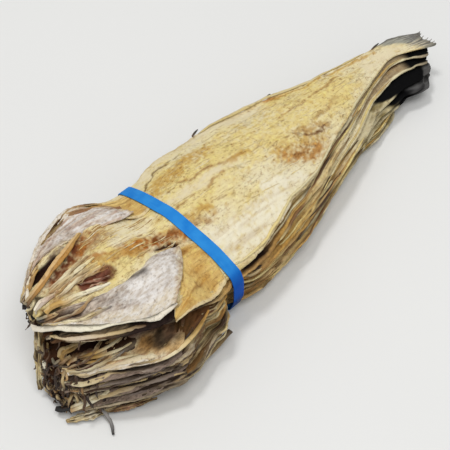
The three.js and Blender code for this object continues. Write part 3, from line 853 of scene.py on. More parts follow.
silver_cover, feed, surface = new_finish("silver_cover", 0.5, 0.12)
place = feed.place()
speck, pit = feed.noise(place, 520, 4, 0.6), feed.noise(place, 260, 6, 0.7)
vein = feed.noise(place.stretched((160, 420, 420)), 1.0, 5, 0.65)
grey = vein.step(0.3, 0.7)
grey = feed.node("ShaderNodeCombineColor", {0: grey, 1: grey, 2: grey})
tone = feed.value("tone", "Color").mixed(grey, 0.38, "OVERLAY").coated([
    (paint(132, 116, 104), speck.step(0.56, 0.7) * 0.24, "MULTIPLY"),
    # painted shade in the low parts of the relief
    (paint(180, 160, 138), (1 - feed.value("raised")).step(0.5, 0.64) * 0.5, "MULTIPLY"),
    (paint(150, 134, 120), pit.step(0.53, 0.66) * 0.2, "MULTIPLY"),
])
relief = vein * 1.0 - pit * 0.7 - speck.step(0.58, 0.7) * 0.3
joined(feed, surface, {
    "Base Color": tone, "Roughness": 0.45 + speck * 0.3, "Normal": feed.bump(0.7, 0.0014, relief)})

covers = [gill_cover(fish, side) for fish in range(FISH_COUNT) for side in (-1, 1)]
gill_covers = grown("gill_covers", sheet_mesh("gill_covers", covers), relief_tree, {
    "Depth": 0.0008, "Size": 0.004, "Fibre depth": 0.0004, "Fibre width": 0.002, "Seed": 61.0,
}, silver_cover)
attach(gill_covers, "root")

# The collars: the flap of shoulder flesh and skin behind each gill cover, dried to a stiff triangle.
# It starts under the strap, passes beneath the cover's rear edge, and its tip hangs at the head's rim.
COLLAR_UPPER = [(-92, -29), (-110, -21), (-122, -29), (-131, -41), (-142, -55), (-153, -66)]
COLLAR_LOWER = [(-96, -60), (-108, -65), (-119, -68), (-130, -70), (-142, -70), (-154, -68)]
COLLAR_THICKNESS = 1.3


def collar(fish, side):
    """A collar on the near side, -1, or on the far side, 1. a runs to its tip and b outwards."""
    seed = 231 + 2 * fish + (side > 0)
    a, b = grid(48, 24)
    a = a[::-1]
    place = between(eased(COLLAR_UPPER, a), eased(COLLAR_LOWER, a), b[..., None])
    s, v = own_share(place[..., 0], place[..., 1])
    hangs = fish == 0 and side < 0
    v = v if hangs else v * 0.9
    long, mid = drift(a * 4, b * 3, seed), drift(a * 14, b * 12, seed + 40)
    streak = drift(a * 6, b * 30, seed + 60)
    lift = 0.7 + 0.9 * smooth(a, 0.1, 0.4) + 0.4 * long + 0.3 * mid
    drop = (4 * smooth(a, 0.6, 1) + 3 * smooth(b, 0.7, 1) * smooth(a, 0.1, 0.4)) * hangs
    top = plain_point(fish, s, v * -side)
    top[..., 2] = np.maximum(top[..., 2], fish_point(fish, s, v * -side, True)[..., 2])
    top[..., 2] += 0.2 + lay_of(fish)["open"] * (lift - drop)
    edge = np.maximum(1 - smooth(b, 0.03, 0.1), smooth(b, 0.9, 0.96))
    tone = layered(paint(230, 198, 126), [
        (paint(192, 146, 76), 0.35 + 0.5 * long + 0.5 * streak),
        (paint(128, 84, 44), 0.6 * smooth(mid + streak, 0.5, 1.2)),
        (paint(230, 212, 168), 0.85 * edge),
    ])
    if fish:
        # the collars of the lower fish are painted shade, dark red to near black
        deep = between(BLOOD, HOLLOW_SHADE, share_of(0.5 + 0.6 * long + 0.5 * streak))
        tone = between(tone, deep, 0.9 if fish < 3 else 0.8)
    under = between(SKIN, BACK, share_of(0.5 + 0.5 * mid))
    return facing_up(side, top, top - [0, 0, COLLAR_THICKNESS], {
        "tone": (tone, under), **even(a, grain=(1, 0.5), flesh=(0.7, 0), skin=(0, 1), tail=(0, 0))})


flaps = [collar(fish, side) for fish in range(FISH_COUNT) for side in (-1, 1)]
collars = grown("collars", sheet_mesh("collars", flaps), relief_tree, {
    "Depth": 0.0006, "Size": 0.006, "Fibre depth": 0.0004, "Fibre width": 0.0018, "Seed": 67.0,
}, dry_flesh)
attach(collars, "root")

# The jaws and throats: flat jaw bones, the ridges of the gill arches and the cheek rims of each head.
# They are the fish's own bones, bared by the cut and dried ochre and cream, some with black tips.
strand_tree, feed, inputs = new_tree("dry_strand", {
    "Sides": 10, "Flatness": 0.5, "Lump depth": 0.0005, "Lump size": 0.005, "Seed": 0.0})
curve = feed.node("GeometryNodeMeshToCurve", {"Mesh": inputs["Geometry"]})
curve = feed.node("GeometryNodeSetCurveNormal", {"Curve": curve}, mode="Z_UP")
thick = feed.node("GeometryNodeInputNamedAttribute", {"Name": "thick"}, data_type="FLOAT")
ring = feed.node("GeometryNodeCurvePrimitiveCircle", {"Resolution": inputs["Sides"], "Radius": 1.0})
shape = feed.node("ShaderNodeCombineXYZ", {0: 1.0, 1: inputs["Flatness"], 2: 1.0})
ring = feed.node("GeometryNodeTransform", {"Geometry": ring, "Scale": shape})
swept = feed.node("GeometryNodeCurveToMesh",
                  {"Curve": curve, "Profile Curve": ring, "Scale": thick, "Fill Caps": True})
here = feed.node("GeometryNodeInputPosition")
lump = hills(feed, here, inputs["Seed"], inputs["Lump size"], 3.0, 0.6)
raised = pushed_out(feed, swept, (lump - 0.5) * 2.0 * inputs["Lump depth"], lump)
rounded = feed.node("GeometryNodeSetShadeSmooth", {"Geometry": raised})
close_tree(strand_tree, feed, rounded, inputs["Material"])


def spread(rows, share, steps=None):
    """Values on straight lines through those rows, from their start at 0 to their end at 1."""
    rows = np.array(rows, float)
    steps = np.linspace(0, 1, len(rows)) if steps is None else steps
    if rows.ndim == 1:
        return np.interp(share, steps, rows)
    return np.stack([np.interp(share, steps, column) for column in rows.T], -1)


def strand_mesh(name, strands):
    """The paths of some strands as one mesh of edges, with their half widths and their colours."""
    points, edges, widths, tones = [], [], [], []
    for path, width, colours in strands:
        path = np.array(path, float)
        count = max(12, 2 * len(path))
        share = np.linspace(0, 1, count)
        lengths = np.r_[0, np.cumsum(np.linalg.norm(np.diff(path, axis=0), axis=1))]
        start, through = len(points), spread if len(path) > 8 else eased
        points += list(through(path, share, lengths / lengths[-1]))
        edges += [(start + i, start + i + 1) for i in range(count - 1)]
        widths += list(spread(width, share))
        tones += list(spread(colours, share))
    mesh = bpy.data.meshes.new(name)
    mesh.from_pydata((np.array(points) - MIDDLE) * MM, edges, [])
    noted(mesh, "thick", np.array(widths)[:, None] * MM)
    noted(mesh, "tone", np.array(tones))
    return mesh


SOOT, AMBER, SMUDGE = paint(24, 22, 22), paint(208, 152, 66), paint(150, 146, 144)
# half widths, heights over the flesh and colours along each bone, and the places that it passes
JAW_BONES = [
    ([1.6, 2.8, 3.2, 2.8, 1.4], [1.5, 2.2, 1.8, 0.6], [SOOT, AMBER, AMBER, AMBER, OCHRE],
     [(-229, 13), (-221, 17), (-208, 20), (-193, 23.5), (-175, 29), (-157, 35)]),
    ([1.5, 2.8, 2.6, 1.2], [0.8, 1.4, 0.6], [SOOT, OCHRE, TAN, OCHRE],
     [(-229, 18), (-220, 24), (-208, 31), (-198, 35)]),
    ([2.6, 3.0, 2.0, 1.8, 0.8], [1.5, 2.4, 1.6, 0.6], [OCHRE, OCHRE, CREAM, IVORY, IVORY],
     [(-221, -3), (-211, -4), (-200, -8), (-186, -12), (-171, -17)]),
    ([1.0, 1.9, 2.0, 0.8], [0.4, 1.4, 1.0, 0.2], [TAN, CREAM, RIND, TAN],
     [(-206, 11), (-194, 10), (-180, 11), (-168, 12)]),
    ([1.0, 1.7, 2.0, 0.8], [0.4, 1.6, 1.2, 0.2], [TAN, RIND, CREAM, STRAW],
     [(-208, 7), (-195, 6), (-181, 6), (-166, 7)]),
    ([1.0, 1.6, 1.8, 0.8], [0.4, 1.8, 1.3, 0.2], [OCHRE, TAN, RIND, STRAW],
     [(-208, 3), (-195, 2), (-181, 2), (-164, 2)]),
    ([1.0, 1.6, 1.6, 0.8], [0.4, 1.6, 1.2, 0.2], [TAN, CREAM, TAN, STRAW],
     [(-207, -1), (-195, -1), (-182, -1), (-168, -3)]),
    ([0.8, 1.3, 1.3, 0.6], [0.2, 0.9, 0.9, 0.2], [TAN, RIND, TAN, STAIN],
     [(-190, -2), (-182, -2.5), (-174, -4.5), (-165, -6)]),
    ([0.6, 1.3, 1.1, 0.5], [-1.2, -0.5, -0.9], [BLOOD, paint(168, 116, 92), paint(134, 82, 62), BLOOD],
     [(-188, -4), (-181, -7), (-174, -10), (-167, -12)]),
    ([0.5, 1.0, 0.9, 0.4], [-1.2, -0.4, -0.9], [paint(140, 88, 70), paint(184, 136, 108), BLOOD],
     [(-186, -8), (-179, -11), (-171, -14)]),
    ([1.6, 2.6, 2.2, 1.0], [0.6, 1.8, 1.4, 0.4], [IVORY, paint(226, 208, 190), paint(190, 160, 132), TAN],
     [(-229, 3), (-221, 4), (-212, 3), (-203, 3)]),
    ([1.4, 2.4, 2.0, 0.8], [0.8, 1.2, 0.6], [SOOT, SOOT, TAN, RIND],
     [(-233, -1), (-228, -3), (-221, -6), (-214, -8)]),
    ([2.2, 3.4, 3.4, 2.6], [2.2, 3.4, 3.2, 2.0], [TAN, paint(150, 104, 62), TAN, paint(150, 104, 62)],
     [(-156, 60), (-147, 55), (-135, 50), (-124, 45), (-114, 39)]),
    ([0.8, 1.6, 1.4, 0.6], [2.6, 3.4, 3.2, 2.0], [TAN, GLOOM, TAN, RIND],
     [(-222, -12), (-210, -18), (-200, -20), (-188, -18)]),
    ([0.8, 1.4, 1.6, 0.6], [2.6, 3.4, 3.2, 2.0], [RIND, CREAM, RIND, SMUDGE],
     [(-224, -13), (-212, -22), (-199, -29), (-184, -33)]),
    ([0.6, 1.2, 1.2, 0.6], [2.2, 3.0, 3.0, 2.0], [GLOOM, BLOOD, GLOOM, TAN],
     [(-216, -17), (-205, -25), (-196, -28), (-190, -30)]),
]
DUSK, DUST = paint(92, 76, 68), paint(150, 134, 120)
PLAIN_RIM, DARK_RIM = [CREAM, RIND, DUST, DUSK], [RIND, DUST, DUSK, GLOOM]
RIM_TONES = [
    [paint(234, 224, 206), IVORY, paint(234, 224, 206)], [RIND, paint(214, 196, 172), RIND, GLOOM],
    [RIND, paint(218, 200, 166), CREAM], PLAIN_RIM, DARK_RIM, PLAIN_RIM, PLAIN_RIM, DARK_RIM,
]
SNOUT_RIM = [(-229, 5, 67), (-230, -1, 69), (-228, -6, 72)]
BONE_STEPS = np.arange(14)
bones = []
for fish in range(FISH_COUNT):
    is_open = lay_of(fish)["open"] == 1
    jitter, press = 0 if fish == 0 else 2.5, 1 if is_open else 0.5
    shadow = (0, 0.6, 0.25)[fish] if fish < 3 else 0.6
    share = BONE_STEPS / BONE_STEPS[-1]
    for n, (widths, lifts, colours, places) in enumerate(JAW_BONES):
        if (not is_open and n > 7) or (fish == 2 and n in (8, 9, 10)):
            continue
        moved = [(u + jitter * chance(fish, 20 + n), w + jitter * chance(fish, 40 + n)) for u, w in places]
        width = press * np.array(widths)
        for part in (-1, 0, 1):
            u, w = eased(moved, share).T
            w = w + (0.6 * part * width.mean() + 0.8 * drift(BONE_STEPS / 1.8, 3 * n + part, 261 + fish))
            height = spread(press * np.array(lifts), share) + 0.4 * chance(n, 90 + part)
            path = plain_point(fish, *own_share(u, w))
            path[:, 2] += height + 0.5 * drift(BONE_STEPS / 1.6, 3 * n + part, 271 + fish)
            # each bone is three strands side by side: the far one lighter, a painted highlight, the near one
            # darker, painted shade; the lower heads' bones also get painted shadow
            lit_and_shaded = [between(tone, CREAM if part > 0 else GLOOM, 0.3 * abs(part)) for tone in colours]
            bones.append((path, 0.55 * width, [between(tone, HOLLOW_SHADE, shadow) for tone in lit_and_shaded]))
    for side in (-1, 1):
        s = np.linspace(-229, -174 if fish == 1 else -150, 16)
        seed = 251 + 2 * fish + (side > 0)
        low = fish == 0 and side < 0
        v = side * ((0.985 if low else 0.955) + 0.02 * drift(s / 12, 0, seed))
        path = plain_point(fish, s, v)
        path[:, 2] += (1.3 if fish == 1 else -0.6 if low else 0.5) + 0.6 * drift(s / 9, 5, seed)
        widths = (3.2 if low else 2.2 if fish < 3 else 1.7) + 0.7 * drift(s / 14, 9, seed)
        widths = widths + (0.5 if fish == 2 else 0)
        widths[[0, -1]] = 0.7
        if low:
            path = np.vstack([SNOUT_RIM, path[1:]])
            widths = np.r_[1.2, 2.6, 2.8, widths[1:]]
        bones.append((path, widths, RIM_TONES[fish]))
# the folds in the third head's bowl
for shares, lift in (([(-213, -0.56), (-204, -0.64), (-196, -0.69), (-187, -0.7), (-178, -0.69)], 2.4),
                     ([(-214, -0.5), (-203, -0.56), (-192, -0.58), (-178, -0.52)], 2.6),
                     ([(-216, -0.62), (-206, -0.72), (-194, -0.8), (-180, -0.84)], 2.0)):
    path = plain_point(2, *np.array(shares).T)
    path[:, 2] += lift
    bones.append((path, [0.8, 1.5, 1.3, 0.6], [GLOOM, OCHRE, CREAM, RIND]))
# the rim of its collar, which curls up to the strap
bones.append((
    [(-180, -70, 46), (-166, -74, 46.5), (-153, -75, 47.5), (-142, -74, 49), (-133, -72, 51),
     (-123, -69, 54)],
    [0.8, 2.0, 2.2, 2.0, 1.6, 0.8], [RIND, CREAM, paint(222, 194, 134), OCHRE, AMBER]))

dry_bone, feed, surface = new_finish("dry_bone", 0.55)
raised = feed.value("raised")
grain = feed.noise(feed.place(), 460, 5, 0.65)
tone = feed.value("tone", "Color").coated([
    (paint(84, 54, 30), grain.step(0.55, 0.72) * 0.5, "MIX"),
    # painted shade in the low parts of the lumps, and a painted highlight on their tops
    (paint(110, 76, 44), (1 - raised).step(0.52, 0.7) * 0.45, "MIX"),
    (paint(246, 236, 212), raised.step(0.58, 0.75) * 0.2, "MIX"),
])
joined(feed, surface, {
    "Base Color": tone, "Roughness": 0.4 + grain * 0.35, "Normal": feed.bump(0.5, 0.001, grain)})

jaw_bones = grown("jaw_bones", strand_mesh("jaw_bones", bones), strand_tree, {
    "Sides": 10, "Flatness": 0.45, "Lump depth": 0.001, "Lump size": 0.0035, "Seed": 71.0}, dry_bone)
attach(jaw_bones, "root")

# The shreds: torn skin, gill filaments and fin stubs that stick out of the stack of heads.
# They dried in the shape that the knife and the drying line left them in.
draw = np.random.default_rng(29)
UMBER, SEPIA, FIN = paint(70, 48, 30), paint(48, 33, 22), paint(122, 119, 116)
# the near-black brown among these is partly painted shade in the tangle of shreds
SHRED_TONES = [TAN, HOLLOW_SHADE, GLOOM, GLOOM, UMBER, UMBER, SEPIA, SEPIA, HOLLOW_SHADE, RIND]
shreds = [
    ([(-226, 17, 70), (-223, 19, 71.5), (-218, 21.5, 72.5)], [1.2, 2.4, 1.4], [SOOT, BLACK, SOOT]),
    ([(-229, 9, 66), (-227, 8.5, 68), (-223, 7, 70)], [1.0, 2.2, 1.4], [SOOT, BLACK, SOOT]),
    ([(-235, -12, 43), (-237, -15, 38)], [0.8, 1.7, 0.8], [IVORY, IVORY]),
    ([(-229, -22, 39), (-230, -26, 34)], [1.2, 2.4, 1.0], [IVORY, IVORY]),
    ([(-244, -30, 7), (-241, -34, 8), (-236, -38, 9)], [2.0, 3.0, 2.2], [SOOT, BLACK, SOOT]),
    ([(-238, -41, 11), (-232, -45, 15), (-226, -49, 19), (-219, -53, 23), (-212, -56, 28)],
     [2.2, 2.7, 2.5, 2.4, 1.4], [TAN, CREAM, IVORY, CREAM, CREAM]),
    ([(-237, -40, 13), (-231, -44, 17), (-224, -48, 21), (-216, -53, 26)], [1.2, 1.6, 1.6, 0.8],
     [RIND, IVORY, CREAM, DUST]),
    ([(-237, -42, 9), (-226, -49, 13), (-210, -58, 18), (-190, -66, 22)], [0.8, 1.6, 1.6, 0.8],
     [GLOOM, RIND, CREAM, DUST]),
    ([(-226, -40, 30), (-221, -47, 28), (-214, -53, 29), (-204, -59, 31)], [0.8, 1.6, 1.8, 0.8],
     [RIND, CREAM, DUST, DUSK]),
    ([(-221, -52, 8), (-220, -59, 7), (-222, -67, 4), (-226, -74, 2)], [1.0, 1.5, 1.4, 0.9],
     [FIN, paint(150, 146, 142), FIN, BLACK]),
    ([(-220, -54, 8), (-220, -60, 6), (-223, -68, 3.6)], [0.6, 0.9, 0.5], [FIN, RIND, FIN]),
    ([(-160, -79, 13), (-142, -79, 14), (-128, -78, 14), (-117, -77, 15), (-107, -76, 16)],
     [0.8, 2.0, 2.4, 2.4, 2.4], [GLOOM, OLIVE, OLIVE, OLIVE, paint(70, 54, 34)]),
]
THROAT_SHREDS, FRONT_SHREDS, TUFT_SHREDS = 16, 60, 34


def unit(rows):
    return rows / np.linalg.norm(rows, axis=-1, keepdims=True)


def torn(path, front, thickest, taper):
    """A shred along that path with a random width and colours, kept off the floor."""
    width = draw.uniform(0.5, thickest)
    picked = draw.integers(0, len(SHRED_TONES), 3)
    path = np.maximum(path, [front, -95, 1.2 + width])
    return path, width * np.array(taper), [SHRED_TONES[i] for i in picked]


# out of the throats and snouts of the lower fish
for fish in range(1, FISH_COUNT):
    for n in range(THROAT_SHREDS):
        start = plain_point(fish, draw.uniform(-229, -204), draw.uniform(-1, 0.9))
        out = unit((start - plain_point(fish, -185, 0)) * [1, 1, 0])
        path = [start - 5 * out]
        for k in range(1, 5):
            step = out * draw.uniform(0, 2.6) + [0, 0, -draw.uniform(0, 4.5)] + draw.uniform(-1.3, 1.3, 3)
            path.append(path[-1] + (5 * out if k == 1 else step))
        shreds.append(torn(path, -239, 1.3, [1, 1.2, 1, 0.4]))
# down the front of the heads
for n in range(FRONT_SHREDS):
    turn = draw.uniform(-0.9, 0.05)
    foot = np.array([-207 - 31 * math.cos(turn), -14 + 44 * math.sin(turn), draw.uniform(14, 50)])
    path = [foot + [3, 0, 2]]
    for k in range(6):
        path.append(path[-1] + [draw.uniform(-2.6, 1.2), draw.uniform(-2.8, 2.4), -draw.uniform(-1, 5)])
    shreds.append(torn(path, -240, 1.2, [0.4, 1, 1, 0.3]))
# in a loose tuft at the lowest snouts
for n in range(TUFT_SHREDS):
    path = [np.array([draw.uniform(-240, -234), draw.uniform(-34, -17), draw.uniform(4, 26)])]
    for k in range(5):
        path.append(path[-1] + [draw.uniform(-1.6, 1.0), draw.uniform(-3, 3), draw.uniform(-3, 2)])
    shreds.append(torn(path, -241, 1.3, [0.4, 1, 1, 0.4]))
dry_shreds = grown("dry_shreds", strand_mesh("dry_shreds", shreds), strand_tree, {
    "Sides": 8, "Flatness": 0.45, "Lump depth": 0.0011, "Lump size": 0.004, "Seed": 73.0}, dry_bone)
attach(dry_shreds, "root")

SCRAP_HALF_THICKNESS, SCRAP_FLOOR = 0.35, 1.1
# half widths and lean of each torn strip of skin, its colours, and the points that it passes
SCRAPS = [
    ([1.5, 3.0, 3.4, 3.0, 2.0], 0.5, [RIND, CREAM, RIND, CREAM, OLIVE],
     [(-226, 3, 64), (-232, -2, 46), (-238.5, -7, 28), (-242, -11, 9)]),
    ([0.8, 3.0, 3.4, 2.8, 1.0], 0.3, [RIND, CREAM, IVORY, CREAM, DUST],
     [(-244, -42, 3), (-237, -46, 4), (-229, -51, 5), (-221, -55, 6), (-210, -60, 8)]),
    ([0.6, 1.8, 2.2, 1.6, 0.6], 0.7,
     [UMBER, paint(150, 108, 82), paint(178, 142, 118), paint(120, 84, 62), DUSK],
     [(-219, -57, 6), (-208, -64, 6), (-199, -69, 7), (-187, -74, 8)]),
    ([0.5, 1.2, 1.4, 0.6], 0.2, [paint(120, 84, 62), RIND, paint(168, 130, 108), UMBER],
     [(-214, -61, 5), (-204, -66, 5), (-194, -71, 6), (-184, -76, 7)]),
    ([1.0, 3.0, 3.0, 1.5], 0.7, [DUSK, DUST, DUSK, UMBER],
     [(-226, -46, 14), (-212, -55, 15), (-196, -64, 16), (-178, -71, 17)]),
    ([1.0, 2.6, 2.6, 1.2], 0.7, [UMBER, DUSK, DUST, DUSK],
     [(-212, -60, 12), (-196, -69, 12), (-178, -76, 13), (-160, -79, 14)]),
    ([1.0, 2.0, 2.0, 1.0], 0.6, [OLIVE, UMBER, CREAM, TAN],
     [(-226, -6, 52), (-230, -12, 40), (-233, -17, 26), (-235, -20, 10)]),
    ([1.0, 2.4, 2.8, 1.2], 0.1, [TAN, paint(150, 112, 80), RIND, TAN],
     plain_point(0, [-221, -206, -190, -174], [0.93, 0.88, 0.9, 0.93]) + [0, 0, 1]),
    ([0.8, 2.2, 2.4, 1.0], 0.2, [TAN, UMBER, paint(176, 140, 120), RIND],
     plain_point(0, [-186, -166, -146, -124], [0.93, 0.88, 0.9, 0.86]) + [0, 0, 2.6]),
    ([1.2, 2.8, 2.4, 1.0], 0.8, [CREAM, RIND, DUST, DUSK],
     [(-232, -40, 12), (-214, -50, 18), (-190, -62, 23), (-166, -70, 27)]),
    ([1.0, 3.0, 3.2, 1.0], 0.8, [DUSK, DUST, paint(126, 110, 108), DUSK],
     [(-196, -66, 20), (-178, -73, 22), (-160, -77, 24), (-142, -77, 27)]),
    ([1.0, 2.4, 2.6, 1.0], 0.9, [UMBER, DUSK, SEPIA, UMBER],
     [(-228, -40, 22), (-212, -52, 26), (-194, -62, 29), (-172, -70, 31)]),
    ([1.2, 4.2, 4.6, 1.6], 0.95, [DUSK, paint(160, 146, 130), paint(116, 102, 90), DUSK],
     [(-190, -66, 34), (-175, -72, 35), (-160, -77, 35), (-146, -77, 36)]),
    ([1.2, 3.8, 4.4, 1.4], 0.95, [UMBER, paint(134, 118, 104), paint(154, 140, 124), DUSK],
     [(-200, -68, 24), (-186, -75, 26), (-171, -82, 26), (-155, -84, 25)]),
]


def scrap(seed, widths, lean, colours, path):
    """A torn strip of skin along that path, as the two grids of a sheet and its values."""
    a, b = grid(46, 12, -1)
    run = unit(eased(path, a + 0.01) - eased(path, a - 0.01))
    level = unit(np.stack([-run[..., 1], run[..., 0], 0 * a], -1))
    across = math.cos(lean) * level + math.sin(lean) * np.cross(run, level)
    face = np.cross(run, across)
    edge = np.sign(b) * 3.5
    frayed = 1 + 0.25 * drift(a * 7, edge, seed) + 0.3 * drift(a * 30, edge, seed + 1)
    half = spread(widths, a) * frayed
    ridge = drift(a * 7, b * 6, seed + 3)
    fold = 0.9 * drift(a * 5, b * 2.5, seed + 2) + 0.7 * ridge
    middle = eased(path, a) + across * (half * b)[..., None] + face * fold[..., None]
    top, bottom = middle + SCRAP_HALF_THICKNESS * face, middle - SCRAP_HALF_THICKNESS * face
    top[..., 2] = np.maximum(top[..., 2], SCRAP_FLOOR + 0.5)
    bottom[..., 2] = np.maximum(bottom[..., 2], SCRAP_FLOOR)
    tone = layered(spread(colours, a), [
        (GLOOM, 0.6 * drift(a * 9, b * 5, seed + 4)),
        # the folds' ridges are lighter and their troughs darker: a painted highlight and painted shade
        (RIND, 0.8 * smooth(ridge, 0.1, 0.5)),
        (SEPIA, 0.9 * smooth(-ridge, 0.15, 0.5)),
    ])
    values = {
        "tone": (tone, between(tone, BACK, 0.5)),
        **even(a, grain=(0.6, 0.6), flesh=(0.8, 0.4), skin=(0, 0.5), tail=(0, 0)),
    }
    return top - MIDDLE, bottom - MIDDLE, values


strips = [scrap(321 + 7 * n, *row) for n, row in enumerate(SCRAPS)]
torn_skin = grown("torn_skin", sheet_mesh("torn_skin", strips), relief_tree, {
    "Depth": 0.0005, "Size": 0.004, "Fibre depth": 0.0003, "Fibre width": 0.0016, "Seed": 75.0}, dry_flesh)
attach(torn_skin, "root")

# The edges: long fibres of dry flesh and skin along the rims of the fish, laid bare by the cut.
# They lie flat on the sides of the stack, straw to brown on the bodies and dusky on the heads.
draw = np.random.default_rng(31)
BODY_EDGES = [paint(218, 206, 164), paint(210, 190, 132), STRAW, OCHRE, TAN, paint(126, 90, 50), UMBER]
HEAD_EDGES = [DUST, DUSK, DUSK, UMBER, paint(126, 110, 104), RIND, SEPIA]
NECK_EDGES = [paint(204, 192, 150), paint(186, 168, 120), paint(170, 154, 116), OLIVE, UMBER, SEPIA, RIND]
# how many there are on each side of a fish, where they start and how long they are
RUNS = [(10, -150, 120, 50, 170, BODY_EDGES), (5, -228, -170, 25, 60, HEAD_EDGES),
        (8, -168, -130, 35, 80, NECK_EDGES)]
BODY_TO, GAP_FROM = 198, 112
fibres = []
for fish in range(FISH_COUNT):
    for side in (-1, 1):
        for count, first, last, short, long, tones in RUNS if fish else RUNS[:1]:
            for n in range(count if fish else 3):
                start = draw.uniform(first, last)
                end = GAP_FROM if 2 < fish < 6 and side < 0 else BODY_TO
                s = np.linspace(start, max(min(start + draw.uniform(short, long), end), start + 8), 20)
                v = draw.uniform(0.96 if fish == 0 else 0.82, 1.0) + 0.02 * drift(s / 40, n, 301 + fish)
                v = v - 0.04 * np.exp(-(((s + lay_of(fish)["shift"] - STRAP_AT - 5) / 15) ** 2))
                path = plain_point(fish, s, side * v)
                path[:, 2] += draw.uniform(0, 0.8)
                width = draw.uniform(0.5, 1.2) * (1 + 0.4 * drift(s / 9, n, 311 + fish))
                width = width * (1.3 if tones is NECK_EDGES else 1)
                width[[0, -1]] = 0.2
                kinds = 4 if fish > 5 and tones is BODY_EDGES else len(tones) if fish else 3
                picked = draw.integers(0, kinds, 4)
                if (start > 100 and end == GAP_FROM) or (fish == 1 and side < 0 and start < -130):
                    continue
                fibres.append((path, width, [tones[i] for i in picked]))
# fine fibres of flesh on the uppermost fish, along its throat and its back
THROAT_FIBRES, BACK_FIBRES = 40, 44
for n in range(THROAT_FIBRES + BACK_FIBRES):
    on_head = n < THROAT_FIBRES
    u = draw.uniform(-168, -118) if on_head else draw.uniform(-84, 150)
    w = draw.uniform(-18, 34) if on_head else 14 + draw.uniform(-44, 44) * (1 - max(u, 0) / 260)
    length = draw.uniform(10, 34)
    u = np.linspace(u, u + length, 12)
    w = w + 0.1 * draw.uniform(-1, 1) * (u - u[0]) + 0.8 * drift(u / 6, n, 331)
    s, v = own_share(np.minimum(u, -107) if on_head else u, w)
    if np.abs(v).max() > 0.8 or u[-1] > 185:
        continue
    path = fish_point(0, s, v, True)
    path[:, 2] += 0.1
    width = np.full(12, draw.uniform(0.2, 0.55 if on_head else 0.4))
    width[[0, -1]] = 0.1
    tones = [CREAM, STRAW, RIND, OCHRE, TAN, TAN] if on_head else [CREAM, STRAW, RIND, STRAW]
    fibres.append((path, width, [tones[i] for i in draw.integers(0, len(tones), 3)]))
edge_fibres = grown("edge_fibres", strand_mesh("edge_fibres", fibres), strand_tree, {
    "Sides": 5, "Flatness": 0.5, "Lump depth": 0.0004, "Lump size": 0.004, "Seed": 77.0}, dry_bone)
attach(edge_fibres, "root")

# The fins: the bony rays of each tail fin, and the stubs of back fins along the far edge.
# Thin grey rods in a web of dark skin, frayed at their ends.
rays = []
for fish in range(FISH_COUNT):
    for v in np.linspace(-0.86, 0.86, 9):
        if 0 < fish < 6 and v < 0.3:
            continue
        s = np.linspace((206 if fish else 213) + 5 * chance(fish, 70 + 7 * v), 230 if fish else 235, 6)
        path = fish_point(fish, s, v + 0.02 * chance(fish, 60 + v), True)
        path[:, 2] += 0.1
        pale = paint(196, 186, 164) if v < 0 and fish < 3 else FIN
        rays.append((path, [0.15, 0.6, 0.5, 0.3], [pale, pale, paint(110, 106, 100)]))
# which fish each stub is on, where it starts and how long it is
FIN_STUBS = [(0, -15, 8), (0, 64, 5), (0, 180, 12), (1, 30, 6), (2, 100, 6), (4, 60, 6), (6, 20, 6)]
for fish, s, reach in FIN_STUBS:
    path = plain_point(fish, s + reach * np.array([0, 0.5, 1]), [0.98, 1.0, 1.0])
    path[:, 1] += [0, 0.8, 1.8]
    rays.append((path, [0.8, 1.1, 0.5], [GLOOM, paint(70, 66, 60), paint(50, 48, 46)]))
fin_rays = grown("fin_rays", strand_mesh("fin_rays", rays), strand_tree, {
    "Sides": 8, "Flatness": 0.8, "Lump depth": 0.0002, "Lump size": 0.004, "Seed": 79.0}, dry_bone)
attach(fin_rays, "root")

# The strap: one flat band of polypropylene, drawn tight round the stack behind the heads.
# It lies on the stack's outline there, and on both sides it bows a little towards the tails.
STRAP_WIDTH, STRAP_THICKNESS, STRAP_CLEARANCE, STRAP_BOW = 10.6, 0.8, 0.4, 3
STRAP_REACH, STRAP_POINTS = 8, 260


def tight_outline(points):
    """The corners of the tight outline of some points, anticlockwise."""
    points = points[np.lexsort((points[:, 1], points[:, 0]))]
    halves = []
    for ordered in (points, points[::-1]):
        kept = []
        for p in ordered:
            while len(kept) > 1:
                (a, b), (c, d) = kept[-2], kept[-1]
                if (c - a) * (p[1] - b) - (d - b) * (p[0] - a) > 0:
                    break
                kept.pop()
            kept.append((p[0], p[1]))
        halves += kept[:-1]
    return np.array(halves)


# the stack's outline across the strap, over the strap's width
section, v = [], np.linspace(-1, 1, 90)
for fish in range(FISH_COUNT):
    shift = lay_of(fish)["shift"]
    beside = fish_point(fish, STRAP_AT - shift, v, True)[:, 1]
    at = STRAP_AT + STRAP_SLANT * beside - shift
    for part in np.linspace(-STRAP_REACH, STRAP_REACH, 9):
        section += [fish_point(fish, at + part, v, upper)[:, 1:] for upper in (True, False)]
for top, _, _ in flaps:
    points = top.reshape(-1, 3) + MIDDLE
    near_strap = np.abs(points[:, 0] - STRAP_AT - STRAP_SLANT * points[:, 1]) < STRAP_REACH
    section.append(points[near_strap][:, 1:])
outline = tight_outline(np.concatenate(section))
steps = np.roll(outline, -1, 0) - outline
turned = unit(np.stack([steps[:, 1], -steps[:, 0]], 1))
outward = unit(turned + np.roll(turned, 1, 0))
outline = outline + outward * (STRAP_CLEARANCE + 0.5 * STRAP_THICKNESS)
lengths = np.r_[0, np.cumsum(np.linalg.norm(np.roll(outline, -1, 0) - outline, axis=1))]
wanted = np.linspace(0, lengths[-1], STRAP_POINTS, endpoint=False)
ring = spread(np.vstack([outline, outline[:1]]), wanted, lengths)
for _ in range(3):
    ring = 0.5 * ring + 0.25 * (np.roll(ring, 1, 0) + np.roll(ring, -1, 0))
bowed = STRAP_BOW * smooth(np.abs(ring[:, 0]), 15, 65)
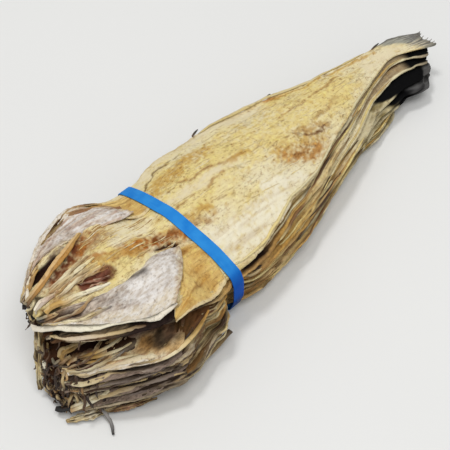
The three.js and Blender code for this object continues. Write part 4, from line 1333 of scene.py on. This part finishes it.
path = np.stack([STRAP_AT + STRAP_SLANT * ring[:, 0] + bowed, ring[:, 0], ring[:, 1]], 1) - MIDDLE

strap_tree, feed, inputs = new_tree("strap_band", {"Width": 0.012, "Thickness": 0.0008})
curve = feed.node("GeometryNodeMeshToCurve", {"Mesh": inputs["Geometry"]})
square = feed.node("GeometryNodeSetCurveNormal", {"Curve": curve, "Normal": (1.0, 0.0, 0.0)}, mode="FREE")
profile = feed.node("GeometryNodeCurvePrimitiveQuadrilateral",
                    {"Width": inputs["Width"], "Height": inputs["Thickness"]}, mode="RECTANGLE")
rounding = {"Curve": profile, "Count": 3, "Radius": inputs["Thickness"] * 0.35}
profile = feed.node("GeometryNodeFilletCurve", rounding, mode="POLY")
band = feed.node("GeometryNodeCurveToMesh",
                 {"Curve": square, "Profile Curve": profile, "Fill Caps": True})
close_tree(strap_tree, feed, band, inputs["Material"])

strap_plastic, feed, surface = new_finish("strap_plastic", 0.38, 0.04)
place = feed.place()
nearer = 0 - feed.node("ShaderNodeSeparateXYZ", {"Vector": place}, 1)
above = feed.node("ShaderNodeSeparateXYZ", {"Vector": place}, 2)
cloud = feed.noise(place, 90, 3, 0.5)
pull = feed.noise(place.stretched((900, 60, 60)), 1.0, 2, 0.5)
# painted shade on the strap's near side, which faces away from the key light, darker still low on its near
# end by the floor
low_end = nearer.step(0.046, 0.05) * (0.05 - above).step(0.012, 0.03)
tone = cloud.step(0.2, 0.8).mottled(paint(34, 124, 208), paint(52, 146, 222)).coated([
    (paint(90, 170, 240), pull.step(0.6, 0.8) * 0.2, "MIX"),
    (paint(0, 62, 168), nearer.step(0.046, 0.062) * 0.95, "MIX"),
    (paint(4, 26, 74), low_end * 0.8, "MIX"),
])
joined(feed, surface, {
    "Base Color": tone, "Roughness": 0.4 + pull * 0.2, "Normal": feed.bump(0.3, 0.0004, pull)})

mesh = bpy.data.meshes.new("strap_path")
count = len(path)
mesh.from_pydata(path * MM, [(i, (i + 1) % count) for i in range(count)], [])
strap_band = grown("strap_band", mesh, strap_tree,
                   {"Width": STRAP_WIDTH * MM, "Thickness": STRAP_THICKNESS * MM}, strap_plastic)
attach(strap_band, "root")
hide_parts("strap")

# The studio: a plain pale floor under soft light from above, brighter on the far side.
# The camera looks down on the heads' near side, as in the photo.
FLOOR_REACH = 2.5
floor_mesh = bpy.data.meshes.new("floor")
corners = [(FLOOR_REACH * x, FLOOR_REACH * y, 0) for x, y in ((-1, -1), (1, -1), (1, 1), (-1, 1))]
floor_mesh.from_pydata(corners, [], [(0, 1, 2, 3)])
floor = bpy.data.objects.new("floor", floor_mesh)
bpy.context.scene.collection.objects.link(floor)
pale_floor, feed, surface = new_finish("pale_floor", 0.7)
haze = feed.noise(feed.place(), 3, 2, 0.5)
joined(feed, surface, {"Base Color": haze.mottled(paint(232, 232, 230), paint(236, 236, 234))})
floor_mesh.materials.append(pale_floor)

AIM, CAMERA_AT = Vector((-0.0495, -0.0052, 0.040)), Vector((-0.44585, -0.41184, 0.77867))
LENS, SENSOR, SKY_STRENGTH = 93.44, 36, 0.42


def facing_aim(at):
    return (AIM - Vector(at)).to_track_quat("-Z", "Y").to_euler()


def soft_box(name, at, size, power):
    """A round soft light at that place, turned to the bundle."""
    lamp = bpy.data.lights.new(name, "AREA")
    lamp.shape, lamp.size, lamp.energy = "DISK", size, power
    box = bpy.data.objects.new(name, lamp)
    box.location, box.rotation_euler = at, facing_aim(at)
    bpy.context.scene.collection.objects.link(box)


soft_box("key_light", (-0.36, 0.8, 3.9), size=0.8, power=44)
soft_box("front_light", (-0.5, -1.1, 3.2), size=1.6, power=40)
world = bpy.data.worlds.new("studio")
world.use_nodes = True
sky = world.node_tree.nodes["Background"]
sky.inputs["Color"].default_value = (1, 1, 1, 1)
sky.inputs["Strength"].default_value = SKY_STRENGTH
bpy.context.scene.world = world
bpy.context.scene.view_settings.view_transform = "Standard"

lens = bpy.data.cameras.new("camera")
lens.lens, lens.sensor_width = LENS, SENSOR
camera = bpy.data.objects.new("camera", lens)
camera.location, camera.rotation_euler = CAMERA_AT, facing_aim(CAMERA_AT)
bpy.context.scene.collection.objects.link(camera)
bpy.context.scene.camera = camera
